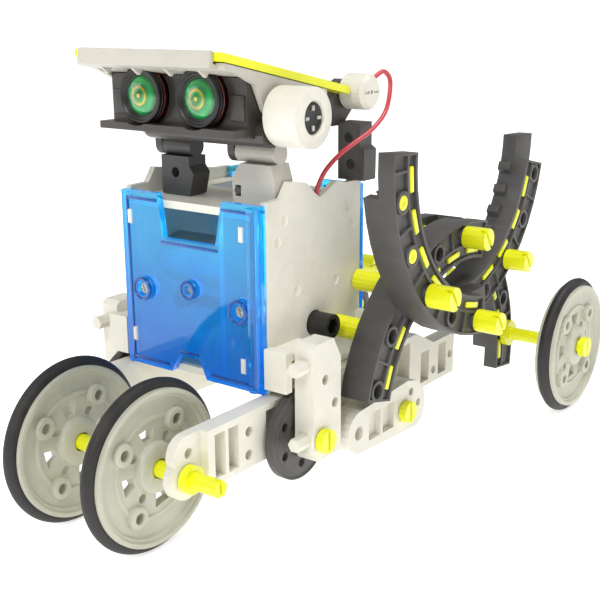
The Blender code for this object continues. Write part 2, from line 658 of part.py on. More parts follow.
def head():
    front, rear = PANEL_FRONT[0], PANEL_REAR[0]
    pivot = (0, PIVOT_Y, PIVOT_Z)
    knuckle = (PIVOT_Y, PIVOT_Z)

    # Solar panel: a yellow frame with a raised lip round the dark cells.
    cells = prism("X", band(front + 4, rear - 4, -1, 0.8), -PANEL_HALF + 4, PANEL_HALF - 4)
    slab = prism("X", band(front + 1.5, rear, 0, SOLAR_T), -PANEL_HALF, PANEL_HALF)
    make("solar_panel", "yellow", [slab], [cells], pivot)

    # Visor: the pale front lip with ribs below it, the tray under the panel and its two side skirts.
    under = SOLAR_T + GAP
    tray = prism("X", band(front + 2.5, 6.0, under, under + 2.0), -PANEL_HALF + 0.2, PANEL_HALF - 0.2)
    lip = [
        (front - 0.6, PANEL_FRONT[1] - 4.6),
        (front + 3.0, PANEL_FRONT[1] - 5.6),
        (front + 3.0, PANEL_FRONT[1] - SOLAR_T - 1.6),
        (front + 1.1, PANEL_FRONT[1] - SOLAR_T - 1.0),
        (front + 1.1, PANEL_FRONT[1] + 0.1),
        (front - 0.2, PANEL_FRONT[1] + 0.1),
    ]
    adds = [tray, prism("X", lip, -VISOR_HALF, VISOR_HALF)]
    skirt = [
        (front + 3.0, top_line(front + 3.0) - under - 0.6),
        (-28.6, 134.3),
        (-24.8, 126.7),
        (-20.9, 123.0),
        (-18.2, 125.6),
        (6.0, 126.4),
        (6.0, top_line(6.0) - under - 0.6),
    ]
    for side in (-1, 1):
        adds.extend(mirrored([prism("X", skirt, PANEL_HALF - 2.0, PANEL_HALF - 0.2)], side))
    for x in (-19.8, -6.6, 6.6, 19.8):
        rib = [(front + 1.0, 139.8), (front + 8.0, 139.6), (front + 5.2, 136.6)]
        adds.append(prism("X", rib, x - 0.6, x + 0.6))
    sockets = []
    for side in (-1, 1):
        sockets.append(rod("Y", (side * EYE_X, EYE_Z), EYE_OUT + GAP, EYE_FRONT_Y - 4.0, -24.2, 28))
    make("visor", "grey", adds, sockets, pivot)

    # Head shell: a box under the tray with a round bar along its lower front edge and two lugs on the pivot.
    deck = under + 2.0 + GAP
    shell_half = PANEL_HALF - 2.0 - GAP
    outline = [
        (-30.5, top_line(-30.5) - deck),
        (-30.5, 119.8),
        (-24.0, 117.6),
        (2.0, 118.2),
        (12.0, 124.4),
        (12.0, top_line(12.0) - deck),
    ]
    adds = [prism("X", outline, -shell_half, shell_half)]
    adds.append(rod("X", (-23.5, 119.7), 3.9, -17.5, 30.6, 20))
    adds.append(box((-shell_half, shell_half), (-36.5, -29.5), (119.6, 121.8)))
    for low, high, pin_end in ((-24.6, -21.9, -17.5), (6.6, 9.3, 13.0)):
        adds.append(rod("X", knuckle, KNUCKLE_R, low, high, 20))
        adds.append(box((low, high), (PIVOT_Y - KNUCKLE_R, PIVOT_Y + KNUCKLE_R), (PIVOT_Z, 119.0)))
        adds.append(rod("X", knuckle, 1.5, low + 1.0, pin_end, 14))
    make("head_shell", "charcoal", adds, sockets, pivot)

    # Eyes: stepped barrels with a deep front recess.
    for side, suffix in ((1, "left"), (-1, "right")):
        y0 = EYE_FRONT_Y
        profile = [
            (y0, EYE_R),
            (y0, EYE_OUT - 0.4),
            (y0 + 0.5, EYE_OUT),
            (y0 + 3.1, EYE_OUT),
            (y0 + 3.6, EYE_BACK_R),
            (y0 + 10.1, EYE_BACK_R),
            (y0 + 10.1, 1.2),
            (y0 + 4.2, 1.2),
            (y0 + 2.2, EYE_R - 1.6),
        ]
        centre = (side * EYE_X, EYE_Z)
        make("eye_" + suffix, "rubber", [lathe("Y", centre, profile, 28)], (), pivot)

    # Ear disc on the left side, rear bracket and knob behind it.
    ear = (-19.2, 124.9)
    profile = [
        (30.9, 0.8),
        (30.9, 7.6),
        (32.0, EAR_R),
        (41.0, EAR_R),
        (43.2, EAR_R - 1.4),
        (44.0, EAR_R - 3.0),
        (44.0, 4.9),
        (42.2, 4.9),
        (42.2, 0.8),
    ]
    make("ear_disc", "white", [lathe("X", ear, profile, 28)], (), pivot)
    knob = (25.4, 129.0)
    arm_low, arm_high = 19.6, 23.6
    outline = [
        (12.0 + GAP, top_line(12.3) - SOLAR_T - GAP),
        (12.0 + GAP, 125.0),
        (16.0, 118.2),
        (23.4, 118.2),
        (29.7, 124.0),
        (29.2, 131.6),
        (24.0, 133.0),
        (18.0 + GAP, 131.0),
        (18.0 + GAP, top_line(18.3) - SOLAR_T - GAP),
    ]
    make("rear_bracket", "charcoal", [prism("X", outline, arm_low, arm_high)], (), pivot)
    profile = [
        (arm_high + GAP, 0.7),
        (arm_high + GAP, KNOB_R - 0.7),
        (arm_high + GAP + 0.8, KNOB_R),
        (32.4, KNOB_R),
        (33.6, KNOB_R - 1.2),
        (33.6, 0.7),
    ]
    slots = [box((32.9, 34.6), (knob[0] + d - 1.5, knob[0] + d + 1.5), (128.6, 129.4)) for d in (-2.6, 2.6)]
    make("rear_knob", "white", [lathe("X", knob, profile, 24)], slots, pivot)

    # Necks that stand on the body's deck, and the rear pillar on the left side panel.
    foot = DECK_Z + DECK_T + GAP
    adds = [
        prism("Y", [(-21.6, foot), (-9.4, foot), (-7.6, 104.0), (-9.4, 106.4), (-9.4, 109.4), (-21.6, 109.4)], -16.0, -8.0),
        rod("X", knuckle, KNUCKLE_R, -21.6, -9.4, 20),
    ]
    cuts = [
        rod("X", knuckle, 1.8, -23.0, -16.0, 16),
        rod("Y", (-15.5, 104.0), 1.7, -17.0, -7.0, 14),
    ]
    make("neck_right", "charcoal", adds, cuts)
    outline = [(9.8, foot), (26.6, foot), (26.6, 104.6), (25.2, 109.4), (13.0, 109.4), (9.8, 105.2)]
    adds = [prism("Y", outline, -17.0, -8.0), rod("X", knuckle, KNUCKLE_R, 9.6, 25.2, 20)]
    cuts = [rod("X", knuckle, 1.8, 8.0, 14.6, 16), box((10.9, 13.2), (-18.0, -15.0), (99.0, 102.5))]
    make("neck_left", "grey", adds, cuts)
    base = BODY_TOP + 0.9 + GAP
    outline = [(24.0, base), (34.2, base), (34.4, 110.8), (32.6, 112.0), (32.6, 119.5), (24.0, 119.5)]
    cuts = [rod("Y", (29.0, 106.0), 1.7, 18.0, 29.0, 14), rod("Y", (28.2, 114.6), 1.7, 18.0, 29.0, 14)]
    make("rear_pillar", "charcoal", [prism("Y", outline, 20.0, 27.0)], cuts)


def smooth_path(knots, pieces):
    """Points along a Catmull-Rom curve through the knots."""
    path = []
    ends = [knots[0] * 2 - knots[1]] + knots + [knots[-1] * 2 - knots[-2]]
    for i in range(1, len(ends) - 2):
        a, b, c, d = ends[i - 1 : i + 3]
        for j in range(pieces):
            t = j / pieces
            path.append(
                0.5 * (2 * b + (c - a) * t + (2 * a - 5 * b + 4 * c - d) * t * t + (3 * b - a - 3 * c + d) * t**3)
            )
    path.append(knots[-1])
    return path


def red_wire():
    """The wire from the rear knob, over in a loop and down beside the pillar to the notch in the left panel."""
    knots = [
        (31.0, 30.3, 133.2),
        (31.6, 35.2, 135.0),
        (32.6, 37.8, 131.6),
        (34.2, 33.2, 123.0),
        (35.6, 23.4, 117.8),
        (35.2, 14.4, 114.4),
        (33.4, 8.0, 111.0),
        (30.6, 3.8, 106.0),
        (28.6, 2.2, 100.6),
        (28.45, 2.2, BODY_TOP - 1.4),
    ]
    path = smooth_path([Vector(k) for k in knots], 5)
    curve = bpy.data.curves.new("red_wire", "CURVE")
    curve.dimensions = "3D"
    curve.bevel_depth = WIRE_R * MM
    curve.bevel_resolution = 2
    curve.use_fill_caps = True
    spline = curve.splines.new("POLY")
    spline.points.add(len(path) - 1)
    for point, place in zip(spline.points, path):
        point.co = (place.x * MM, (place.y + BODY_Y) * MM, place.z * MM, 1.0)
    obj = bpy.data.objects.new("red_wire", curve)
    obj.data.materials.append(MATERIALS["red"])
    ROBOT.objects.link(obj)


def main():
    for side, suffix in ((1, "left"), (-1, "right")):
        side_panel(side, suffix)
        spacers(side, suffix)
        running_gear(side, suffix)
        lower_beams(side, suffix)
        wheel("front_" + suffix, side * FRONT_WHEEL_X, FRONT_AXLE_Y)
        wheel("rear_" + suffix, side * REAR_WHEEL_X, REAR_AXLE_Y)
    upper_beams(1, "left")
    cover("front_cover", 1)
    cover("rear_cover", -1)
    drive_train()
    axle = (FRONT_AXLE_Y, AXLE_Z)
    ends = SIDE_BEAM_X + 16.0
    adds = [rod("X", axle, AXLE_R, -ends, ends, 20)]
    for side in (-1, 1):
        adds.extend(mirrored([rod("X", axle, 4.2, SIDE_BEAM_X + 3.2 + GAP, SIDE_BEAM_X + 6.0, 20)], side))
    cuts = []
    for side in (-1, 1):
        cuts.extend(mirrored([box((ends - 1.6, ends + 1), (-65.1, -63.9), (AXLE_Z - 9, AXLE_Z + 9))], side))
    make("front_axle", "yellow", adds, cuts)
    head()
    red_wire()


for old in list(bpy.data.objects):
    bpy.data.objects.remove(old, do_unlink=True)
ROBOT = bpy.data.collections.new("solar_robot_kit")
TOOLS = bpy.data.collections.new("cutting_shapes")
bpy.context.scene.collection.children.link(ROBOT)
bpy.context.scene.collection.children.link(TOOLS)
TOOLS.hide_render = True
MATERIALS = {name: principled(name) for name in COLOURS}
main()
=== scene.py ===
"""Finishes and fine detail for the solar robot kit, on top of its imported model."""

import json
import math

import bmesh
import bpy
from mathutils import Matrix, Vector


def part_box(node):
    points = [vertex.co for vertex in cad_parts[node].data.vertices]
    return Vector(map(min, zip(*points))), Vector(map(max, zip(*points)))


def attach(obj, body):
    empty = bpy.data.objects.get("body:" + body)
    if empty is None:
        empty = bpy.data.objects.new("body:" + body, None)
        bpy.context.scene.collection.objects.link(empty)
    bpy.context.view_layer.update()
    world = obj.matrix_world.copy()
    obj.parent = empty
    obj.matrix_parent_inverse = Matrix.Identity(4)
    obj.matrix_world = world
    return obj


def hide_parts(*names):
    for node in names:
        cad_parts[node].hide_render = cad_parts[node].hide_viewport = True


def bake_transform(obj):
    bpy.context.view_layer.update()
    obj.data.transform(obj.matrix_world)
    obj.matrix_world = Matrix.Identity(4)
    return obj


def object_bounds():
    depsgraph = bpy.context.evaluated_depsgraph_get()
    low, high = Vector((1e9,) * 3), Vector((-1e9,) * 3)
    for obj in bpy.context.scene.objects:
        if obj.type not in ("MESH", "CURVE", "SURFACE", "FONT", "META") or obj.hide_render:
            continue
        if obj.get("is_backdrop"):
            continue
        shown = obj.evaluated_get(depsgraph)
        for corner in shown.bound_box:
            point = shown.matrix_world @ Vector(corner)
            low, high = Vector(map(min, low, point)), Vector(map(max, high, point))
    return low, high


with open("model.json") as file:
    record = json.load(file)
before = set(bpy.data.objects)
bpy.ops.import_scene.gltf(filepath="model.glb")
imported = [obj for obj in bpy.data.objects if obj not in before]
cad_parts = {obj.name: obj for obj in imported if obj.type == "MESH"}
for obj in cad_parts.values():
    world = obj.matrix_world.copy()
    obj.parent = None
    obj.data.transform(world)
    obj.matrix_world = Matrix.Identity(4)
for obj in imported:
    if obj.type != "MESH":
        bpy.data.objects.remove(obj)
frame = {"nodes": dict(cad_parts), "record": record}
CAD_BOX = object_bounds()
NODES = frame["nodes"]

bl_info = {
    "name": "Solar Robot Kit",
    "version": (1, 0, 0),
    "blender": (4, 5, 0),
    "location": "3D View > Sidebar > Robot Kit",
    "description": "Finishes and fine detail for the solar robot kit",
    "category": "Object",
}

MM = 0.001
SIDES = (("left", 1), ("right", -1))

frame_low, frame_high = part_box("gearbox_frame")
BODY_MID_Y = (frame_low[1] + frame_high[1]) / 2

# Curved beams: the two centres they are bent about, as (y, z), and the radii of their rows, in millimetres.
UPPER_CENTRE = (55.6, 110.0)
LOWER_CENTRE = (58.7, 19.4)
HOLES_R = 58.5
DASHES_R = 53.1
DASH_STEP = 14.6
CHANNEL_DEPTH = 1.0
DASH_CHANNEL = (51.2, 55.0)
HOLE_CHANNEL = (55.9, 62.7)
BOSS_R = 3.6

# Gearbox body, in millimetres: the faces of its covers and panels, and places on them.
COVER_FACE = 27.5
PANEL_DIMPLES = ((-16.2, 93.0), (-19.6, 86.8), (17.1, 92.8), (20.2, 86.3), (-10.2, 69.7), (10.9, 69.1))
COVER_BOSSES = ((-20.4, 66.6, 4.0), (-0.1, 69.1, 3.2), (20.7, 65.3, 4.0))
COVER_CLIPS = ((-25.7, 90.2), (-25.7, 50.1), (21.6, 89.6), (21.6, 47.7))
COVER_ENDS = (("front", 1, "-Y"), ("rear", -1, "+Y"))

# Wheels and rollers, in millimetres.
RIM_R = 23.9
RIM_BOSSES_R = 15.3
RIM_HOLES_R = 9.7
RING_R = 24.2
RING_THICK = 2.27
ROLLER_R = 14.75
ROLLER_POCKETS_R = 9.6
BORE_R = 3.0

# The solar panel's fall from front to rear over its run, in millimetres.
PANEL_FALL = 13.0
PANEL_RUN = 62.5

# Camera: its place in millimetres, its turn about the vertical, its downward look and its roll, in degrees.
CAMERA_PLACE = (223.8, -264.5, 155.4)
CAMERA_TURN = 37.2
CAMERA_DOWN = 15.5
CAMERA_ROLL = -0.4
LENS_MM = 63.2


def at(x, y, z):
    """A place in metres from millimetres, with y counted from the middle of the gearbox body."""
    return Vector((x * MM, y * MM + BODY_MID_Y, z * MM))


def middle_of(node):
    lowest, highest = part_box(node)
    return (Vector(lowest) + Vector(highest)) / 2


# Colours and finishes.


def linear(code):
    """An sRGB hex colour as linear red, green, blue and alpha."""
    parts = [int(code[i : i + 2], 16) / 255 for i in (1, 3, 5)]
    return tuple(c / 12.92 if c <= 0.04045 else ((c + 0.055) / 1.055) ** 2.4 for c in parts) + (1.0,)


def add_node(material, kind, inputs=(), **settings):
    """A shader node with its settings and input values. A tuple (node, socket) as a value is a link."""
    node = material.node_tree.nodes.new(kind)
    for key, value in settings.items():
        setattr(node, key, value)
    for socket, value in dict(inputs).items():
        if isinstance(value, tuple) and isinstance(value[0], bpy.types.Node):
            material.node_tree.links.new(value[0].outputs[value[1]], node.inputs[socket])
        else:
            node.inputs[socket].default_value = value
    return node


def set_inputs(shader, **values):
    """Sets a shader's inputs. An underscore stands for the space in an input's name."""
    for name, value in values.items():
        shader.inputs[name.replace("_", " ")].default_value = value


def new_finish(name):
    material = bpy.data.materials.new(name)
    material.use_nodes = True
    material.node_tree.nodes.clear()
    output = add_node(material, "ShaderNodeOutputMaterial")
    shader = add_node(material, "ShaderNodeBsdfPrincipled")
    material.node_tree.links.new(shader.outputs[0], output.inputs[0])
    where = add_node(material, "ShaderNodeTexCoord")
    return material, shader, where


def per_metre(size_mm):
    """Noise scale for features of a real size."""
    return 1000.0 / size_mm


def noise(material, place, feature_mm, detail, **inputs):
    """Noise whose features have a real size."""
    inputs.update({"Vector": place, "Scale": per_metre(feature_mm), "Detail": detail})
    return add_node(material, "ShaderNodeTexNoise", inputs)


def remap(material, source, low, high, to_low, to_high):
    """A value's range stretched to another range."""
    return add_node(material, "ShaderNodeMapRange", {0: source, 1: low, 2: high, 3: to_low, 4: to_high})


def mix(material, factor, first, second):
    """One colour blended into another."""
    return add_node(material, "ShaderNodeMix", {"Factor": factor, 6: first, 7: second}, data_type="RGBA")


def moulded(name, code, roughness, grain_mm=0.35, bump=0.25, shift=0.05, coat=0.0):
    """Injection-moulded plastic: sparked grain from the mould, faint flow marks, scuffs that dull it in places."""
    material, shader, where = new_finish(name)
    links = material.node_tree.links
    place = (where, "Object")
    drift = noise(material, place, 22.0, 3.0, Roughness=0.55)
    stretch = add_node(material, "ShaderNodeMapping", {"Vector": place, "Scale": (0.25, 1.0, 1.0)})
    streaks = noise(material, (stretch, 0), 5.0, 2.0, Distortion=0.8)
    grain = noise(material, place, grain_mm, 2.0, Roughness=0.6)
    scuffs = add_node(
        material, "ShaderNodeTexVoronoi", {"Vector": place, "Scale": per_metre(2.6)}, feature="DISTANCE_TO_EDGE"
    )
    base = linear(code)
    dark = tuple(c * (1.0 - shift * 1.6) for c in base[:3]) + (1.0,)
    light = tuple(min(1.0, c * (1.0 + shift)) for c in base[:3]) + (1.0,)
    blend = add_node(material, "ShaderNodeMath", {0: (drift, 0), 1: (streaks, 0)}, operation="ADD")
    half = remap(material, (blend, 0), 0.75, 1.25, 0.0, 1.0)
    tint = mix(material, (half, 0), dark, light)
    links.new(tint.outputs[2], shader.inputs["Base Color"])
    worn = remap(material, (scuffs, 0), 0.0, 0.06, 1.0, 0.0)
    spread = add_node(material, "ShaderNodeMath", {0: (worn, 0), 1: (drift, 0)}, operation="MULTIPLY")
    gloss = remap(material, (half, 0), 0.0, 1.0, roughness - 0.05, roughness + 0.05)
    dulled = add_node(
        material, "ShaderNodeMath", {0: (spread, 0), 1: 0.10, 2: (gloss, 0)}, operation="MULTIPLY_ADD"
    )
    links.new(dulled.outputs[0], shader.inputs["Roughness"])
    height = add_node(material, "ShaderNodeMath", {0: (streaks, 0), 1: 0.35, 2: (grain, 0)}, operation="MULTIPLY_ADD")
    relief = add_node(
        material, "ShaderNodeBump", {"Height": (height, 0), "Strength": bump, "Distance": 0.00006}
    )
    links.new(relief.outputs[0], shader.inputs["Normal"])
    set_inputs(shader, Coat_Weight=coat, Coat_Roughness=0.12, IOR=1.5)
    return material


def clear_plastic(name, code, lower_painted_shade, glow, transmission, roughness):
    """Tinted clear styrene with slow ripples left by the mould, deeper in colour towards the bottom as painted shade,
    and with a faint painted glow.
    """
    material, shader, where = new_finish(name)
    links = material.node_tree.links
    place = (where, "Object")
    ripple = noise(material, place, 9.0, 2.0)
    fine = noise(material, place, 0.8, 2.0)
    split = add_node(material, "ShaderNodeSeparateXYZ", {0: place})
    # Painted shade: the blue deepens towards the bottom of the cover.
    painted_shade_rise = remap(material, (split, 2), 0.045, 0.09, 0.0, 0.8)
    ripple_and_painted_shade = add_node(material, "ShaderNodeMath", {0: (ripple, 0), 1: 0.45, 2: (painted_shade_rise, 0)}, operation="MULTIPLY_ADD")
    tint = mix(material, (ripple_and_painted_shade, 0), linear(lower_painted_shade), linear(code))
    links.new(tint.outputs[2], shader.inputs["Base Color"])
    # Painted glow: the sheet gives off a little light of the glow colour, though it is no lamp.
    set_inputs(shader, Emission_Color=linear(glow), Emission_Strength=0.15)
    rough = remap(material, (fine, 0), 0.3, 0.7, roughness - 0.03, roughness + 0.06)
    links.new(rough.outputs[0], shader.inputs["Roughness"])
    relief = add_node(material, "ShaderNodeBump", {"Height": (ripple, 0), "Strength": 0.25, "Distance": 0.0002})
    links.new(relief.outputs[0], shader.inputs["Normal"])
    set_inputs(shader, Transmission_Weight=transmission, IOR=1.49, Coat_Weight=0.15, Coat_Roughness=0.06)
    return material


def rubber(name, code):
    """Moulded rubber ring: matt, with bloom in patches and a fine grained skin from the tool."""
    material, shader, where = new_finish(name)
    links = material.node_tree.links
    place = (where, "Object")
    bloom = noise(material, place, 6.0, 5.0)
    skin = noise(material, place, 0.5, 3.0)
    base = linear(code)
    pale = tuple(c * 1.7 + 0.006 for c in base[:3]) + (1.0,)
    patch = remap(material, (bloom, 0), 0.4, 0.7, 0.0, 1.0)
    tint = mix(material, (patch, 0), base, pale)
    links.new(tint.outputs[2], shader.inputs["Base Color"])
    rough = remap(material, (bloom, 0), 0.3, 0.7, 0.5, 0.72)
    links.new(rough.outputs[0], shader.inputs["Roughness"])
    relief = add_node(material, "ShaderNodeBump", {"Height": (skin, 0), "Strength": 0.3, "Distance": 0.0001})
    links.new(relief.outputs[0], shader.inputs["Normal"])
    return material


def drawn_steel(name):
    """Drawn and plated can: turned rings round the axis and a soft brushed sheen."""
    material, shader, where = new_finish(name)
    links = material.node_tree.links
    squeeze = add_node(material, "ShaderNodeMapping", {"Vector": (where, "Object"), "Scale": (1.0, 0.06, 0.06)})
    lines = noise(material, (squeeze, 0), 0.25, 3.0)
    tint = mix(material, (lines, 0), linear("#8c8c8a"), linear("#c9c9c6"))
    links.new(tint.outputs[2], shader.inputs["Base Color"])
    rough = remap(material, (lines, 0), 0.3, 0.7, 0.25, 0.42)
    links.new(rough.outputs[0], shader.inputs["Roughness"])
    shader.inputs["Metallic"].default_value = 0.9
    return material


def eye_glass(name):
    """Green lens with gold and dark rings round its middle, under a hard gloss."""
    material, shader, where = new_finish(name)
    links = material.node_tree.links
    uv = (where, "UV")
    centred = add_node(material, "ShaderNodeVectorMath", {0: uv, 1: (0.5, 0.5, 0.0)}, operation="SUBTRACT")
    reach = add_node(material, "ShaderNodeVectorMath", {0: (centred, 0)}, operation="LENGTH")
    ramp = add_node(material, "ShaderNodeValToRGB", {"Fac": (reach, "Value")})
    stops = (
        (0.0, "#f4e04a"),
        (0.035, "#d8b52a"),
        (0.06, "#0e6a2c"),
        (0.15, "#169245"),
        (0.175, "#a5a132"),
        (0.21, "#b9a630"),
        (0.235, "#137b38"),
        (0.36, "#23a552"),
        (0.44, "#0b5a2a"),
        (0.48, "#06170e"),
    )
    ramp.color_ramp.elements[0].position = 0.0
    ramp.color_ramp.elements[0].color = linear(stops[0][1])
    ramp.color_ramp.elements[1].position = stops[-1][0]
    ramp.color_ramp.elements[1].color = linear(stops[-1][1])
    for position, code in stops[1:-1]:
        ramp.color_ramp.elements.new(position).color = linear(code)
    swirl = noise(material, (where, "Object"), 5.0, 3.0)
    deepen = remap(material, (swirl, 0), 0.3, 0.7, 0.55, 1.25)
    toned = add_node(material, "ShaderNodeVectorMath", {0: (ramp, 0), "Scale": (deepen, 0)}, operation="SCALE")
    links.new(toned.outputs[0], shader.inputs["Base Color"])
    # Painted glow: the lens gives off a little light in its own colours, though it is no lamp.
    links.new(toned.outputs[0], shader.inputs["Emission Color"])
    set_inputs(shader, Emission_Strength=0.12, Roughness=0.12, Coat_Weight=1.0, Coat_Roughness=0.03)
    return material


def solar_cells(name):
    """Dark blue crystalline cells with fine silver fingers across them."""
    material, shader, where = new_finish(name)
    links = material.node_tree.links
    place = (where, "Object")
    grains = add_node(material, "ShaderNodeTexVoronoi", {"Vector": place, "Scale": per_metre(3.2)})
    tint = mix(material, (grains, "Color"), linear("#10162c"), linear("#22305c"))
    split = add_node(material, "ShaderNodeSeparateXYZ", {0: place})
    phase = add_node(material, "ShaderNodeMath", {0: (split, 0), 1: per_metre(1.4)}, operation="MULTIPLY")
    saw = add_node(material, "ShaderNodeMath", {0: (phase, 0)}, operation="FRACT")
    finger = add_node(material, "ShaderNodeMath", {0: (saw, 0), 1: 0.1}, operation="LESS_THAN")
    silver = mix(material, (finger, 0), (tint, 2), linear("#8f949c"))
    links.new(silver.outputs[2], shader.inputs["Base Color"])
    set_inputs(shader, Roughness=0.22, Coat_Weight=0.8, Coat_Roughness=0.05)
    return material


FINISH = {}


def make_finishes(colours):
    """Every finish of the robot, by the name its pieces ask for."""
    FINISH["charcoal"] = moulded("charcoal_abs", colours.charcoal_code, 0.46, 0.40, 0.30, 0.10)
    FINISH["head"] = moulded("head_charcoal_abs", colours.head_code, 0.34, 0.40, 0.18, 0.10, 0.15)
    FINISH["white"] = moulded("warm_white_abs", colours.white_code, 0.40, 0.45, 0.16, 0.03)
    FINISH["rim"] = moulded("pale_grey_rim_abs", colours.rim_code, 0.40, 0.45, 0.20, 0.04)
    FINISH["grey"] = moulded("pale_grey_abs", colours.grey_code, 0.42, 0.45, 0.18, 0.05)
    FINISH["yellow"] = moulded("lemon_yellow_abs", colours.yellow_code, 0.30, 0.50, 0.10, 0.03, 0.25)
    FINISH["black"] = moulded("black_acetal", "#1b1a19", 0.38, 0.50, 0.15, 0.15)
    FINISH["green"] = moulded("green_acetal", "#2f9a3c", 0.32, 0.50, 0.12, 0.08, 0.2)
    FINISH["cyan"] = moulded("cyan_clip_plastic", "#4cc4ea", 0.28, 0.50, 0.10, 0.04, 0.3)
    FINISH["blue"] = clear_plastic(
        "clear_blue_styrene", colours.blue_code, colours.blue_painted_shade_code, colours.blue_painted_glow_code, 0.85, 0.06
    )
    # Painted shade: a darker blue for the dark lines that light makes along the thick edges of the clear covers.
    FINISH["blue_edge"] = moulded("blue_styrene_painted_edge_shade", colours.blue_painted_edge_shade_code, 0.20, 0.50, 0.08, 0.06, 0.5)
    FINISH["rubber"] = rubber("black_rubber", "#211f1e")
    FINISH["steel"] = drawn_steel("drawn_steel")
    FINISH["glass"] = eye_glass("green_eye_lens")
    FINISH["cells"] = solar_cells("solar_cells")
    FINISH["copper"] = moulded("red_brown_ring", "#7d2f2a", 0.25, 0.5, 0.1, 0.1, 0.4)
    FINISH["wire"] = moulded("red_wire_insulation", colours.wire_code, 0.36, 0.5, 0.08, 0.05, 0.2)


# Modelling by hand: primitives, edit mode tools and applied modifiers.


def deselect_all():
    if bpy.context.object and bpy.context.object.mode != "OBJECT":
        bpy.ops.object.mode_set(mode="OBJECT")
    bpy.ops.object.select_all(action="DESELECT")


def only(piece):
    deselect_all()
    bpy.context.view_layer.objects.active = piece
    piece.select_set(True)


def soften(piece, width, angle):
    """A bevel of a width in millimetres on the edges that are sharper than an angle in degrees."""
    edge = piece.modifiers.new("edge", "BEVEL")
    edge.width = width * MM
    edge.segments = 2
    edge.limit_method = "ANGLE"
    edge.angle_limit = math.radians(angle)
    return edge


def settle(piece, name, finish, body, bevel=0.0, angle=32.0):
    """Names a finished piece, gives it its finish, softens its edges and lets it ride on a body."""
    only(piece)
    piece.name = name
    piece.data.name = name
    bpy.ops.object.transform_apply(location=True, rotation=True, scale=True)
    if bevel:
        bpy.ops.object.modifier_apply(modifier=soften(piece, bevel, 40).name)
    bpy.ops.object.shade_smooth_by_angle(angle=math.radians(angle))
    piece.data.materials.clear()
    piece.data.materials.append(FINISH[finish])
    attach(piece, body)
    return piece


def faces_where(piece, test):
    """In edit mode, selects exactly the faces that pass a test on their middle and normal."""
    work = bmesh.from_edit_mesh(piece.data)
    for part in (work.verts, work.edges, work.faces):
        for element in part:
            element.select = False
    bpy.context.tool_settings.mesh_select_mode = (False, False, True)
    for face in work.faces:
        face.select = test(face.calc_center_median(), face.normal)
    work.select_flush_mode()
    bmesh.update_edit_mesh(piece.data)


def turned(radius, depth, sides, front=(), back=()):
    """A disc along Z whose two ends are stepped by insets: each step is (inward, outward) in millimetres."""
    deselect_all()
    bpy.ops.mesh.primitive_cylinder_add(vertices=sides, radius=radius * MM, depth=depth * MM)
    piece = bpy.context.object
    bpy.ops.object.mode_set(mode="EDIT")
    for sign, steps in ((1, front), (-1, back)):
        if not steps:
            continue
        faces_where(piece, lambda middle, normal: normal.z * sign > 0.9 and middle.z * sign > depth * MM * 0.49)
        for inward, outward in steps:
            bpy.ops.mesh.inset(thickness=inward * MM, depth=outward * MM, use_even_offset=False)
    bpy.ops.object.mode_set(mode="OBJECT")
    return piece


def aim(piece, axis, place):
    """Turns a piece made along Z to point along an axis, and puts its middle at a place in metres."""
    turns = {
        "+X": Matrix.Rotation(math.pi / 2, 4, "Y"),
        "-X": Matrix.Rotation(-math.pi / 2, 4, "Y"),
        "+Y": Matrix.Rotation(-math.pi / 2, 4, "X"),
        "-Y": Matrix.Rotation(math.pi / 2, 4, "X"),
        "+Z": Matrix.Identity(4),
    }
    piece.matrix_world = Matrix.Translation(place) @ turns[axis] @ piece.matrix_world
    bpy.context.view_layer.update()
    return piece


def cut(piece, tools, operation="DIFFERENCE"):
    """Takes tools out of a piece, or joins them to it, and removes them."""
    for tool in tools:
        only(piece)
        work = piece.modifiers.new("cut", "BOOLEAN")
        work.operation = operation
        work.solver = "EXACT"
        work.object = tool
        bpy.ops.object.modifier_apply(modifier=work.name)
    for tool in tools:
        bpy.data.objects.remove(tool)
    return piece


def block(size, place, taper=0.0):
    """A block of the given size in millimetres at a place in metres, with its top drawn in by taper."""
    deselect_all()
    bpy.ops.mesh.primitive_cube_add(size=1.0)
    piece = bpy.context.object
    piece.scale = Vector(size) * MM
    bpy.ops.object.transform_apply(location=False, rotation=False, scale=True)
    if taper:
        bpy.ops.object.mode_set(mode="EDIT")
        faces_where(piece, lambda middle, normal: normal.z > 0.9)
        bpy.ops.mesh.inset(thickness=taper * MM, depth=taper * MM)
        bpy.ops.object.mode_set(mode="OBJECT")
    piece.location = place
    bpy.context.view_layer.update()
    return piece


def torus(radius, thick, around, across):
    """A round ring about Z, in millimetres."""
    deselect_all()
    bpy.ops.mesh.primitive_torus_add(
        major_segments=around, minor_segments=across, major_radius=radius * MM, minor_radius=thick * MM
    )
    return bpy.context.object


def put_round(piece, radius, degrees):
    """Puts a piece at a radius in millimetres and an angle about Z."""
    x, y = polar((0, 0), radius, degrees)
    piece.location = (x * MM, y * MM, 0)
    return piece


